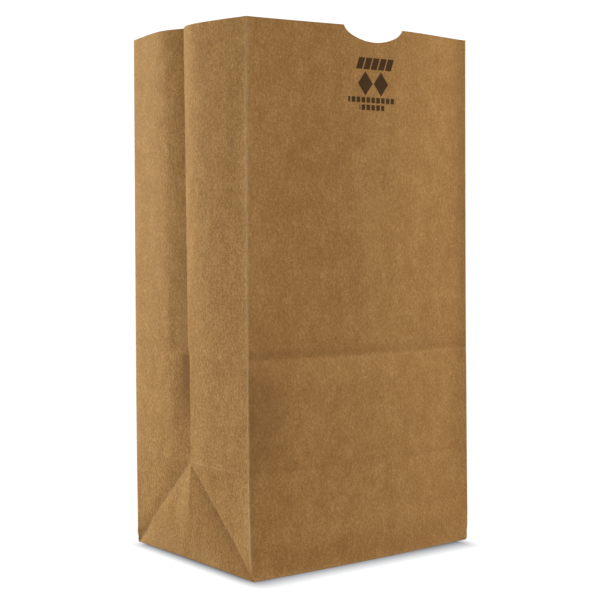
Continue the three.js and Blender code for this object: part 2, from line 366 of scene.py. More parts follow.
def crest(u, sharpness):
    """A crest that rises from u = 0 in a nearly straight line and falls faster towards u = 1."""
    peak_at = (1 / (sharpness + 1)) ** (1 / sharpness)
    peak = peak_at * (1 - peak_at ** sharpness)
    return u * (1 - u ** sharpness) / peak


def rear_crest(u, top_share):
    """The rear half's crest: a rounded rise and a steep fall by the crease, 1 at its highest."""
    places = np.linspace(0, 1, CREST_SAMPLES)
    heights = []
    for table in (REAR_HALF_LOW, REAR_HALF_TOP):
        slopes = np.interp(places, *table)
        height = np.concatenate([[0], np.cumsum((slopes[1:] + slopes[:-1]) / 2)])
        height = height - height[-1] * places
        heights.append(np.interp(u, places, height / height.max()))
    return heights[0] + (heights[1] - heights[0]) * top_share


def even_swell(u):
    """0 at both ends and 1 in the middle."""
    return np.sin(np.pi * u)


def leaning_swell(u):
    """Flat by the left edge, fullest right of the middle."""
    return np.sin(np.pi * u ** FRONT_LEANING)


def shoulder(u, peak_at):
    """Rises in a straight line from u = 0 to 1 at peak_at, and dies away slowly beyond it."""
    return u / peak_at * np.exp(1 - u / peak_at)


def step_up(value, low, high):
    """0 below low, 1 above high, and a smooth step between them."""
    share = np.clip((value - low) / (high - low), 0, 1)
    return share * share * (3 - 2 * share)


def step_down(value, low, high):
    """1 below low, 0 above high, and a smooth step between them."""
    return 1 - step_up(value, low, high)


def fold_profile(z, height, spread):
    """A sharp fold line at one height, dying away above and below it."""
    return np.exp(-np.abs(z - height) / spread)


def bump(value, middle, reach):
    """A smooth rise to 1 at the middle value."""
    return np.exp(-((value - middle) / reach) ** 2)


def band(value, level, mark):
    """A mark along a level: its strength, how far above the level it lies, and its reach."""
    strength, above, reach = mark
    return strength * bump(value, level + above, reach)


class Ripples:
    """Slow waves in the paper, the same on each run."""

    def __init__(self, seed, shortest, longest, count, upright=1.0):
        draw = np.random.RandomState(seed)
        length = shortest * (longest / shortest) ** draw.rand(count)
        turn = draw.rand(count) * 2 * np.pi
        self.along = np.cos(turn) * 2 * np.pi / length
        self.up = np.sin(turn) * 2 * np.pi / length / upright
        self.phase = draw.rand(count) * 2 * np.pi
        self.weight = length / length.max()
        self.total = np.sqrt((self.weight ** 2).sum() / 2)

    def at(self, s, z):
        waves = [w * np.sin(a * s + b * z + p)
                 for a, b, p, w in zip(self.along, self.up, self.phase, self.weight)]
        return sum(waves) / self.total


# Upright folds and faces

def corner_fold(sizes, sign_x, sign_y, name, z):
    """Plan position of a corner's upright fold at each height."""
    top_lean = 1 - math.exp(-sizes.bag_height / LEAN_HEIGHT[name])
    lean = (1 - np.exp(-z / LEAN_HEIGHT[name])) / top_lean
    push = np.exp(-z / PUSH_HEIGHT[name])
    shift = MOUTH_SHIFT[name]
    pushed = CORNER_PUSH[name]
    x = sign_x * (sizes.panel_width / 2 + STAND_OUT[name]) + shift[0] * lean + pushed[0] * push
    y = sign_y * sizes.gusset_width / 2 + shift[1] * lean + pushed[1] * push
    return np.stack([x, y], axis=-1)


def tuck_depth(sizes, z):
    """How far the gusset's crease is tucked in: deepest just below the pressed fold."""
    mitre = sizes.mitre_height
    pressed = sizes.pressed_fold_height
    below = TUCK * np.clip((z - mitre) / (pressed - mitre), 0, 1)
    release = np.clip((z - pressed) / TUCK_RELEASE, 0, 1)
    left = TUCK_ABOVE * (sizes.bag_height - z) / (sizes.bag_height - pressed)
    return np.where(z <= pressed, below, TUCK + (left - TUCK) * release)


def gusset_crease(sizes, sign_x, name, z):
    """Plan position of a gusset's centre crease at each height."""
    low = np.clip(z / sizes.mitre_height, 0, 1)
    high = np.clip((z - sizes.mitre_height) / (sizes.bag_height - sizes.mitre_height), 0, 1)
    shift = MOUTH_SHIFT[name]
    proud = APEX_PROUD * low * (1 - high) - tuck_depth(sizes, z)
    x = sign_x * (sizes.panel_width / 2 + proud) + shift[0] * high
    return np.stack([x, shift[1] * high], axis=-1)


def face_points(start, end, u, rise):
    """Points of one face between two upright folds, lifted outward by rise."""
    along = end - start
    length = np.linalg.norm(along, axis=-1, keepdims=True)
    outward = np.stack([along[..., 1], -along[..., 0]], axis=-1) / length
    return start + along * u[..., None] + outward * rise[..., None]


def front_rise(sizes, form, u, z):
    """The front panel: its belly, its cross folds, and the small forms seen in the photograph."""
    pressed = sizes.pressed_fold_height
    share = z / sizes.bag_height
    spread = np.where(z < pressed, LOWER_SPREAD, FOLD_SPREAD)
    folds = (MITRE_FOLD_SHARE * fold_profile(z, sizes.mitre_height, FOLD_SPREAD)
             + fold_profile(z, pressed, spread))
    edge_free = np.minimum(1, EDGE_HOLD * even_swell(u))
    rise = form.front_belly * share ** BELLY_GROWTH * leaning_swell(u)
    rise = rise - FOLD_VALLEY * folds * edge_free
    low = step_up(z, 0, LOW_SWELL_START)
    low = low * step_down(z, pressed - LOW_SWELL_BELOW, pressed + LOW_SWELL_ABOVE)
    rise = rise + LOW_SWELL * low * shoulder(u, LOW_SWELL_PEAK)
    rise = rise + FOOT_BOW * even_swell(u) * step_down(z, 0, FOOT_BOW_TOP)
    rise = rise + EDGE_SWELL * bump(z, *EDGE_SWELL_HEIGHT) * shoulder(u, EDGE_SWELL_PEAK)
    right = 1 - u
    flare = (1 - np.exp(-right / FLARE_BEND)) * step_down(right, *FLARE_FADE)
    rise = rise - RIGHT_FLARE * share ** FLARE_GROWTH * flare
    lobe = step_up(u, *LOBE_RISE) * step_down(u, *LOBE_FALL)
    return rise + LOBE * lobe * bump(z, *LOBE_HEIGHT)


def back_rise(sizes, form, u, z):
    """The back panel's even belly."""
    share = (z / sizes.bag_height) ** BELLY_GROWTH
    return form.back_belly * share * even_swell(u)


def half_crest(is_front, u, top_share):
    """The crest across half a gusset, from its corner fold to its crease."""
    return crest(u, FRONT_HALF_SHARPNESS) if is_front else rear_crest(u, top_share)


def cross_ridges(sizes, z):
    """The low ridges of a front half gusset at its cross folds."""
    ridges = ((FOLD_RIDGE, sizes.mitre_height), (PRESSED_RIDGE, sizes.pressed_fold_height),
              (BUNDLE_RIDGE, sizes.bundle_mark_height))
    return sum(height * fold_profile(z, level, FOLD_SPREAD) for height, level in ridges)


def rear_dent(sizes, u, z):
    """The dent of the rear half beside its crease, above the pressed fold."""
    pressed = sizes.pressed_fold_height
    start = step_up(z, pressed, pressed + REAR_DENT_START)
    end = step_down(z, pressed + REAR_DENT_FADE, REAR_DENT_TOP)
    across = step_up(u, *REAR_DENT_EDGE) * (1 - u ** REAR_DENT_SHARPNESS)
    return REAR_DENT * start * end * across


def valley_power(slope, width, valley):
    """Power of the curve over a width that leaves a valley's bottom at a slope."""
    return np.clip(slope * width / np.maximum(valley, TINY), 1, STEEPEST_POWER)


def half_gusset_rise(sizes, form, is_front, corner, u, z):
    """Half a gusset from its corner (u = 0) to its crease (u = 1), the mitre zone included."""
    belly = form.gusset_front_belly if is_front else form.gusset_rear_belly
    growth = FRONT_HALF_GROWTH if is_front else REAR_BELLY_GROWTH
    fullness = belly * (z / sizes.bag_height) ** growth
    fold = cross_ridges(sizes, z) * even_swell(u) * is_front
    strip = FRONT_STRIP * shoulder(u, STRIP_PEAK) * is_front
    tuck = tuck_depth(sizes, z) * ((u * u if is_front else u) - u ** TUCK_SHARPNESS)
    across = half_crest(is_front, u, step_up(z, *REAR_HALF_TURN))
    upper = fullness * across + fold + tuck - strip
    if not is_front:
        upper = upper - rear_dent(sizes, u, z)
    climb = np.clip(z / sizes.mitre_height, 0, 1)
    outer_across = np.clip(u / np.maximum(climb, TINY), 0, 1)
    outer_full = fullness * half_crest(is_front, outer_across, 0) + fold - strip
    inner_across = np.clip((u - climb) / np.maximum(1 - climb, TINY), 0, 1)
    outer, inner = mitre_zone(sizes, is_front, corner, climb, outer_across, inner_across, z)
    lower = np.where(u <= climb + TINY, climb * outer_full + outer, inner - score_line(sizes, climb, u))
    return np.where(z >= sizes.mitre_height - TINY, upper, lower)


def mitre_zone(sizes, is_front, corner, climb, outer_across, inner_across, z):
    """The paper's rise on both sides of a diagonal: from the corner fold to it, and beyond it."""
    side = "front" if is_front else "rear"
    half_gusset = sizes.gusset_width / 2
    swell = 4 * climb * (1 - climb)
    depth, height = CORNER_PINCH[corner]
    valley = MITRE_VALLEY * swell + depth * shoulder(z, height) * (1 - climb)
    outer_power = valley_power(EDGE_SLOPE, half_gusset * climb, valley)
    inner_power = valley_power(FLANK_SLOPE[side], half_gusset * (1 - climb), valley)
    ridge = TRIANGLE_RIDGE * swell * inner_across ** RIDGE_POWER[side]
    outer = -valley * (1 - (1 - outer_across) ** outer_power)
    inner = ridge - valley * (1 - inner_across) ** inner_power
    return outer, inner


def score_line(sizes, climb, u):
    """Depth of the score up the triangle's middle, faded out at the table and at the apex."""
    ends = np.clip(climb / SCORE_FADE, 0, 1) * np.clip((1 - climb) / SCORE_FADE, 0, 1)
    return SCORE_DEPTH * np.exp(-(1 - u) * sizes.gusset_width / 2 / SCORE_WIDTH) * ends


def thumb_cut_depth(sizes, x):
    """Depth of the thumb cut at a distance x from its middle: a shallow arc and steep ends."""
    half = sizes.cut_width / 2
    if half <= 0:
        return np.zeros_like(x)
    floor_half = CUT_FLOOR_SHARE * half

    def dip(away):
        return CUT_FLOOR_RADIUS - np.sqrt(np.maximum(CUT_FLOOR_RADIUS ** 2 - away ** 2, 0))

    end_depth = sizes.cut_depth - dip(floor_half)
    end_width = half - floor_half
    slope = math.asin(floor_half / CUT_FLOOR_RADIUS)
    turn = 2 * (math.atan2(end_depth, end_width) - slope)
    end_radius = math.hypot(end_width, end_depth) / (2 * math.sin(turn / 2))
    away = np.abs(x)
    angle = np.arcsin(np.clip((away - floor_half) / end_radius + math.sin(slope), -1, 1))
    end = end_depth - end_radius * (math.cos(slope) - np.cos(angle))
    depth = np.where(away <= floor_half, sizes.cut_depth - dip(away), end)
    return np.where(away >= half, 0, np.maximum(depth, 0))


# Grid of the tube: fine by the folds, coarser between them. Steps are in millimetres

FINE_STEPS = (0.5, 0.6, 0.9, 1.4, 2.0)
HALF_GUSSET_STEP = 2.5
PANEL_STEP = 3.0
ROW_STEPS = (3.0, 4.2, 4.2)

# Rows of the turn into the bottom, as shares of its radius from the table up
CURL_SHARES = (0, 0.06, 0.2, 0.42, 0.7)

# Columns over half of the thumb cut, and the least gap that the other columns keep from them
CUT_STEPS = 17
CUT_CLEARANCE = 0.7 * MM

# Places over the fold's radius that the rounding of a fold averages
FOLD_SAMPLES = 7


def graded_places(length, step):
    """Places from 0 to 1 along a length, fine at both ends and a step in millimetres between."""
    fine = np.array(FINE_STEPS) * MM
    middle = length - 2 * fine.sum()
    count = max(2, round(middle / (step * MM)))
    steps = np.concatenate([fine, np.full(count, middle / count), fine[::-1]])
    places = np.concatenate([[0], np.cumsum(steps)]) / length
    places[-1] = 1
    return places


def cut_places(sizes):
    """Places of columns along the thumb cut, close together at its steep ends."""
    half = sizes.cut_width / 2
    arc = np.linspace(0, 1, CUT_STEPS)
    away = half * (1 - (1 - arc) ** 2)
    x = np.concatenate([-away[::-1], away[1:]]) + sizes.cut_offset
    return 0.5 + x / sizes.panel_width


def merge_places(base, extra, gap):
    """The extra places, with those base places that don't crowd them."""
    kept = [u for u in base if np.abs(extra - u).min() > gap]
    return np.unique(np.concatenate([kept, extra]))


def tube_columns(sizes):
    """Each face's name, its places from fold to fold, its width, and its start on the sheet."""
    half = sizes.gusset_width / 2
    half_places = graded_places(half, HALF_GUSSET_STEP)
    wide_places = graded_places(sizes.panel_width, PANEL_STEP)
    front = merge_places(wide_places, cut_places(sizes), CUT_CLEARANCE / sizes.panel_width)
    names = ("front", "right_front", "right_rear", "back", "left_rear", "left_front")
    places = (front, half_places, half_places, wide_places, half_places, half_places)
    widths = (sizes.panel_width, half, half, sizes.panel_width, half, half)
    starts = np.concatenate([[0], np.cumsum(widths)])
    return [(n, p, w, s) for n, p, w, s in zip(names, places, widths, starts)]


def sheet_folds(columns):
    """Places of the upright folds along the sheet, from its first face's start to its end."""
    name, places, width, start = columns[-1]
    return np.array([face[3] for face in columns] + [start + width])


def tube_rows(sizes):
    """Heights of the rows: the turn into the bottom, then the mitre zone, graded as the half
    gussets are but for their first places, then the stretches between the marks above it."""
    half_places = graded_places(sizes.gusset_width / 2, HALF_GUSSET_STEP)
    levels = [np.array(CURL_SHARES) * BOTTOM_RADIUS, half_places[2:] * sizes.mitre_height]
    marks = (sizes.mitre_height, sizes.pressed_fold_height, sizes.bundle_mark_height,
             sizes.bag_height)
    for low, high, step in zip(marks, marks[1:], ROW_STEPS):
        levels.append((low + graded_places(high - low, step) * (high - low))[1:])
    return np.concatenate(levels)


def from_corner(name, u):
    """Place across half a gusset, counted from its corner fold."""
    return u if name in CORNER_FIRST else 1 - u


def face_xy(sizes, form, name, u, z):
    """Plan positions of one face's points."""
    fl = corner_fold(sizes, -1, -1, "front_left", z)
    fr = corner_fold(sizes, 1, -1, "front_right", z)
    rr = corner_fold(sizes, 1, 1, "rear_right", z)
    rl = corner_fold(sizes, -1, 1, "rear_left", z)
    cr = gusset_crease(sizes, 1, "crease_right", z)
    cl = gusset_crease(sizes, -1, "crease_left", z)
    if name == "front":
        return face_points(fl, fr, u, front_rise(sizes, form, u, z))
    if name == "back":
        return face_points(rr, rl, u, back_rise(sizes, form, u, z))
    side, half = name.split("_")
    corner = half + "_" + side
    rise = half_gusset_rise(sizes, form, half == "front", corner, from_corner(name, u), z)
    ends = {"right_front": (fr, cr), "right_rear": (cr, rr),
            "left_rear": (rl, cl), "left_front": (cl, fl)}[name]
    return face_points(ends[0], ends[1], u, rise)


def round_folds(points, radius):
    """Rounds the upright folds of each ring by averaging along it over the fold's radius."""
    rounded = np.empty_like(points)
    shares = np.linspace(-1, 1, FOLD_SAMPLES)
    for row, ring in enumerate(points):
        closed = np.vstack([ring, ring[:1]])
        run = np.concatenate([[0], np.cumsum(np.linalg.norm(np.diff(closed, axis=0), axis=1))])
        total = np.zeros_like(ring)
        for share in shares:
            at = (run[:-1] + share * radius) % run[-1]
            total += np.stack([np.interp(at, run, closed[:, k]) for k in (0, 1)], axis=-1)
        rounded[row] = total / len(shares)
    return rounded


def ring_normals(points):
    """Outward plan normals of each ring's points."""
    along = np.roll(points, -1, axis=1) - np.roll(points, 1, axis=1)
    normal = np.stack([along[..., 1], -along[..., 0]], axis=-1)
    return normal / np.linalg.norm(normal, axis=-1, keepdims=True)


def bottom_curl(z):
    """How far the walls turn in where they fold under at the table."""
    left = np.clip(BOTTOM_RADIUS - z, 0, BOTTOM_RADIUS)
    return BOTTOM_RADIUS - np.sqrt(BOTTOM_RADIUS ** 2 - left ** 2)


def paper_relief(sizes, form, s, z, folds):
    """Slow ripples everywhere but at the folds, and small dents by the bottom corners."""
    slow = Ripples(form.seed, *SLOW_RIPPLES, upright=SLOW_STRETCH)
    small = Ripples(form.seed + DENT_SEED, *DENTS)
    gap = np.abs(s[..., None] - folds).min(axis=-1)
    calm = np.clip(gap / CALM_BESIDE_FOLD, 0, 1) * np.clip(z / CALM_FOOT, 0, 1)
    relief = form.ripple_height * slow.at(s, z) * calm
    reach = np.abs(s[..., None] - folds[CORNER_FOLDS]).min(axis=-1)
    near = bump(reach, 0, DENT_REACH) * bump(z, 0, DENT_HEIGHT) * np.clip(z / DENT_FOOT, 0, 1)
    return relief + form.crumple_height * small.at(s, z) * near


# Marks of wear and painted light, kept in the sheet as a point attribute: 1 on a worn corner fold with
# a painted highlight, 0 on plain paper, above 0 also where light is painted, below 0 where shade is
# painted in a crease or hollow. A band is its strength, how far above a level it lies, and its reach.

# Corner folds, worn and with a painted highlight along them, with the height at which the front left
# one starts to be worn
PANEL_EDGE_WEAR_AND_HIGHLIGHT = (1.0, 0, 0.7 * MM)
GUSSET_EDGE_WEAR_AND_HIGHLIGHT = (1.0, 0, 0.9 * MM)
LEFT_EDGE_START = (6 * MM, 9 * MM)

# Front panel: painted highlight along the foot and along the lower lip of the pressed fold, and where
# across that lip it starts
FOOT_HIGHLIGHT = (0.3, 0, 1.5 * MM)
PRESSED_LIP_HIGHLIGHT = (0.13, -2 * MM, 1.2 * MM)
PRESSED_LIP_HIGHLIGHT_START = (0.15, 0.5)

# Front panel: painted shade at the cross folds, at the left below them, and along the right edge
PRESSED_SHADE = (0.34, 3.2 * MM, 3.4 * MM)
PRESSED_SHADE_LOSS = 0.7
MITRE_SHADE = (0.1, 1.5 * MM, 2.5 * MM)
LEFT_SHADE = (0.34, 122 * MM, 48 * MM)
LEFT_SHADE_FADE = (10 * MM, 44 * MM)
RIGHT_SHADE = 0.24
RIGHT_SHADE_START = (140 * MM, 190 * MM)
RIGHT_SHADE_FADE = (2 * MM, 22 * MM)
MOST_WEAR_SHADED = 0.1

# Gussets: worn diagonals, wear and a painted highlight on the cross folds from the mitre up, painted
# shade along the score in the triangle, and the share of the triangle's height over which its marks
# fade out below the apex
DIAGONAL_WEAR = (0.3, 0, 0.8 * MM)
CROSS_WEAR_AND_HIGHLIGHT = (0.45, 0.12, 0.15)
CROSS_WEAR_AND_HIGHLIGHT_REACH = 0.5 * MM
SCORE_SHADE = 0.12
SCORE_SHADE_REACH = 0.45 * MM
APEX_FADE = 0.25

# Foot of a gusset, with painted light up to the second height
PAINTED_LIGHT_FOOT = (5 * MM, 32 * MM)

# Rear half, painted shade by the crease below the pressed fold: strength, heights of its rise and fall,
# the strip of even shade, and the reach beyond that, at the fold and well below it
LOW_CREASE_SHADE = 0.65
LOW_CREASE_FULL = 140 * MM
LOW_CREASE_END = (-2 * MM, 1 * MM)
LOW_CREASE_STRIP = 6 * MM
LOW_CREASE_REACH = (2 * MM, 6.5 * MM)
LOW_CREASE_WIDENING = 40 * MM

# Rear half, painted shade by the crease above the pressed fold: strength, rise, fall and reach
HIGH_CREASE_SHADE = 0.45
HIGH_CREASE_START = 2 * MM
HIGH_CREASE_FADE = (215 * MM, 270 * MM)
HIGH_CREASE_REACH = 9 * MM

# Rear half: painted shade at the bottom corner (along and up), painted light on a strip in the triangle
# and on the foot
REAR_CORNER_ALONG = (0.5, 1 * MM, 3 * MM)
REAR_CORNER_UP = (1.0, 12 * MM, 9 * MM)
TRIANGLE_PAINTED_LIGHT = (0.16, 4 * MM, 9 * MM)
REAR_FOOT_PAINTED_LIGHT = 0.14

# Front half: painted shade inside the diagonal, painted light on a wedge outside it, and the height
# they fade from
DIAGONAL_SHADE = 0.34
DIAGONAL_SHADE_REACH = 13 * MM
DIAGONAL_SHADE_START = 0.5 * MM
WEDGE_PAINTED_LIGHT = 0.10
WEDGE_EDGE = 1 * MM
WEDGE_WIDTH = 0.22
WEDGE_FOOT = 12 * MM
MITRE_FADE_START = 0.6
FRONT_FOOT_PAINTED_LIGHT = 0.12
FRONT_FOOT_START = (10 * MM, 25 * MM)

# Small turned ear at the front left bottom corner: its height, its lean, the painted shade lines on
# both sides of its edge's painted highlight, and the painted shade of the dent beside it (along and up)
EAR_TOP = (6.5 * MM, 8 * MM)
EAR_LEAN = 1.24
EAR_PAINTED_SHADE = ((1.0, 0, 1.1 * MM), (1.0, -3.6 * MM, 0.8 * MM))
EAR_PAINTED_HIGHLIGHT = (0.9, -1.9 * MM, 0.7 * MM)
EAR_DENT_SHADE_ALONG = (0.6, 6 * MM, 2 * MM)
EAR_DENT_SHADE_UP = (1.0, 11 * MM, 5 * MM)


def panel_wear_and_shading(sizes, name, u, z):
    """Wear and a painted highlight on a panel's edges, painted highlights on its foot and on the
    pressed fold's lower lip, and painted shade at the front one's folds and edges.
    """
    pressed = sizes.pressed_fold_height
    left = u * sizes.panel_width
    right = (1 - u) * sizes.panel_width
    # Wear and a painted highlight along the corner folds
    line = band(np.minimum(left, right), 0, PANEL_EDGE_WEAR_AND_HIGHLIGHT)
    line = line * np.where(u < 0.5, step_up(z, *LEFT_EDGE_START), 1)
    # Painted highlights on the foot and on the pressed fold's lower lip
    line = np.maximum(line, band(z, 0, FOOT_HIGHLIGHT))
    line = np.maximum(line, band(z, pressed, PRESSED_LIP_HIGHLIGHT) * step_up(u, *PRESSED_LIP_HIGHLIGHT_START))
    # Painted shade on the front panel by its folds, at its lower left and along its right edge
    shade = band(z, pressed, PRESSED_SHADE) * (1 - PRESSED_SHADE_LOSS * u)
    shade = shade + band(z, sizes.mitre_height, MITRE_SHADE)
    shade = shade + band(z, 0, LEFT_SHADE) * step_down(left, *LEFT_SHADE_FADE)
    right_shade = step_up(z, *RIGHT_SHADE_START) * step_down(right, *RIGHT_SHADE_FADE)
    shade = shade + RIGHT_SHADE * right_shade
    return line - shade * (line < MOST_WEAR_SHADED) * (name == "front")


def gusset_wear_and_shading(sizes, name, u, z):
    """Wear and a painted highlight on the corner fold and cross folds of half a gusset, its worn
    diagonal, painted shade along the score, and its own half's painted shade and light.
    """
    away = from_corner(name, u)
    is_front = name.endswith("front")
    crease_gap = (1 - away) * sizes.gusset_width / 2
    inside = (away * sizes.mitre_height - z) / math.sqrt(2)
    # Wear and a painted highlight along the gusset's corner fold
    line = band(away * sizes.gusset_width / 2, 0, GUSSET_EDGE_WEAR_AND_HIGHLIGHT)
    line = np.maximum(line, band(inside, 0, DIAGONAL_WEAR))
    # Wear and a painted highlight on the front half's cross folds
    if is_front:
        levels = (sizes.mitre_height, sizes.pressed_fold_height, sizes.bundle_mark_height)
        for level, strength in zip(levels, CROSS_WEAR_AND_HIGHLIGHT):
            towards_crease = (1 + away) / 2
            mark = strength * towards_crease * bump(z, level, CROSS_WEAR_AND_HIGHLIGHT_REACH)
            line = np.maximum(line, mark)
    in_triangle = np.clip(1 - z / sizes.mitre_height, 0, 1)
    below_apex = np.minimum(in_triangle / APEX_FADE, 1)
    # Painted shade along the score in the triangle
    score = bump(crease_gap, 0, SCORE_SHADE_REACH)
    line = line * (1 - score * (in_triangle > 0)) - SCORE_SHADE * score * below_apex
    if is_front:
        return front_half_wear_and_shading(sizes, name == "left_front", line, away, inside, z)
    return rear_half_wear_and_shading(sizes, line, away, below_apex, z)


def rear_half_wear_and_shading(sizes, line, away, below_apex, z):
    """Painted shade by the crease and the bottom corner, and painted light on the triangle and the
    foot.
    """
    pressed = sizes.pressed_fold_height
    gap = away * sizes.gusset_width / 2
    crease_gap = (1 - away) * sizes.gusset_width / 2
    # Painted shade by the crease, below and above the pressed fold
    below = step_up(z, sizes.mitre_height, LOW_CREASE_FULL)
    below = below * step_down(z, pressed + LOW_CREASE_END[0], pressed + LOW_CREASE_END[1])
    narrow, wide = LOW_CREASE_REACH
    reach = narrow + (wide - narrow) * step_up(pressed - z, 0, LOW_CREASE_WIDENING)
    beyond_strip = np.maximum(crease_gap - LOW_CREASE_STRIP, 0)
    shade = LOW_CREASE_SHADE * below * np.exp(-beyond_strip / reach)
    above = step_up(z, pressed, pressed + HIGH_CREASE_START) * step_down(z, *HIGH_CREASE_FADE)
    shade = shade + HIGH_CREASE_SHADE * above * np.exp(-crease_gap / HIGH_CREASE_REACH)
    # Painted shade at the bottom corner
    shade = shade + band(gap, 0, REAR_CORNER_ALONG) * band(z, 0, REAR_CORNER_UP)
    # Painted light on a strip in the triangle and on the foot
    painted_light = band(crease_gap, 0, TRIANGLE_PAINTED_LIGHT) * below_apex
    painted_light = painted_light + REAR_FOOT_PAINTED_LIGHT * step_down(z, *PAINTED_LIGHT_FOOT)
    return line - shade + painted_light * (line >= 0)


def front_half_wear_and_shading(sizes, has_ear, line, away, inside, z):
    """Painted shade inside the diagonal, painted light on a wedge outside it and on the foot, and the
    turned ear's painted shade and highlight.
    """
    mitre = sizes.mitre_height
    inside = inside * (z < mitre)
    low = step_down(z, MITRE_FADE_START * mitre, mitre)
    # Painted shade inside the diagonal, painted light on a wedge outside it and on the foot
    shade = DIAGONAL_SHADE * np.exp(-inside / DIAGONAL_SHADE_REACH)
    shade = shade * step_up(inside, 0, DIAGONAL_SHADE_START)
    wedge = step_up(-inside, 0, WEDGE_EDGE) * bump(away, 0, WEDGE_WIDTH)
    wedge = wedge * step_up(z, 0, WEDGE_FOOT)
    painted_foot_light = FRONT_FOOT_PAINTED_LIGHT * step_down(z, *PAINTED_LIGHT_FOOT) * step_up(inside, *FRONT_FOOT_START)
    # The ear's painted shade and highlight
    if has_ear:
        line = line * step_up(z, *EAR_TOP) - painted_ear_shading(sizes, away, z)
    return line - low * shade + WEDGE_PAINTED_LIGHT * wedge * low + painted_foot_light


def painted_ear_shading(sizes, away, z):
    """Painted shade lines on both sides of the ear's painted edge highlight, and the painted shade of
    the dent beside it.
    """
    gap = away * sizes.gusset_width / 2
    edge = EAR_LEAN * z
    # Painted shade lines beside the ear's edge, less its painted highlight
    lines = sum(band(gap, edge, dark) for dark in EAR_PAINTED_SHADE) - band(gap, edge, EAR_PAINTED_HIGHLIGHT)
    painted_dent_shade = band(gap, 0, EAR_DENT_SHADE_ALONG) * band(z, 0, EAR_DENT_SHADE_UP)
    return lines * step_down(z, *EAR_TOP) + painted_dent_shade

# Materials

FINISHES = ("kraft_outside", "kraft_inside", "kraft_edge")
FLOAT = "NodeSocketFloat"
COLOUR = "NodeSocketColor"

# Grain size as a share of the fibre's, and the specks: their soft edge as a share of a cell's
# size, and which cells have one
GRAIN_SHARE = 2.1
SPECK_EDGE = (0.04, 0.075)
SPECK_CELLS = (0.76, 0.80)
SPECK_STRENGTH = 0.7
SPECK_COLOUR = (0.05, 0.025, 0.012, 1.0)

# Where the wear and painted light of a fold are broken up: noise levels, and the least share of them
# kept there
WEAR_AND_LIGHT_BREAKS = (0.30, 0.55)
LEAST_WEAR_AND_LIGHT = 0.65

# The gussets face sideways, where the light rakes over the fibres; there the fibres' colour contrast is
# raised, as painted raking light
RAKED_FACING = (0.5, 0.85)
RAKED_GAIN = 1.55

# Surface: roughness over the fibres, height of the fibres, and the paper's weak sheen
FIBRE_LEVELS = (0.3, 0.7)
ROUGHNESS = (0.72, 0.92)
FIBRE_HEIGHT = 0.35 * MM
FIBRE_BUMP = 0.75
SHEEN_LEVEL = 0.12


def new_group(name, inputs, outputs):
    """A shader node group with named sockets, and its input and output nodes."""
    group = bpy.data.node_groups.new(name, "ShaderNodeTree")
    for label, kind, default in inputs:
        socket = group.interface.new_socket(name=label, in_out="INPUT", socket_type=kind)
        if default is not None:
            socket.default_value = default
    for label, kind in outputs:
        group.interface.new_socket(name=label, in_out="OUTPUT", socket_type=kind)
    return group, group.nodes.new("NodeGroupInput"), group.nodes.new("NodeGroupOutput")


def add(tree, kind, values=(), **settings):
    """A node with its settings, and input values or links given by socket name or number."""
    node = tree.nodes.new(kind)
    for key, value in settings.items():
        setattr(node, key, value)
    for socket, value in dict(values).items():
        if isinstance(value, bpy.types.NodeSocket):
            tree.links.new(value, node.inputs[socket])
        else:
            node.inputs[socket].default_value = value
    return node


def math_node(tree, operation, a, b=0.0, clamp=False):
    """The output of one sum on two values."""
    return add(tree, "ShaderNodeMath", {0: a, 1: b}, operation=operation, use_clamp=clamp).outputs[0]


def remap(tree, value, low, high, to_low=0.0, to_high=1.0):
    """A value's place between low and high, carried over to another range and kept inside it."""
    values = {"Value": value, "From Min": low, "From Max": high,
              "To Min": to_low, "To Max": to_high}
    return add(tree, "ShaderNodeMapRange", values, clamp=True).outputs["Result"]


def mix_colour(tree, factor, a, b):
    """Colour a where the factor is 0, and colour b where it is 1."""
    node = tree.nodes.new("ShaderNodeMix")
    node.data_type = "RGBA"
    for socket, value in ((0, factor), (6, a), (7, b)):
        if isinstance(value, bpy.types.NodeSocket):
            tree.links.new(value, node.inputs[socket])
        else:
            node.inputs[socket].default_value = value
    return node.outputs[2]


def opaque(colour):
    """A colour with full alpha, as a colour socket takes it."""
    return (*colour, 1.0)


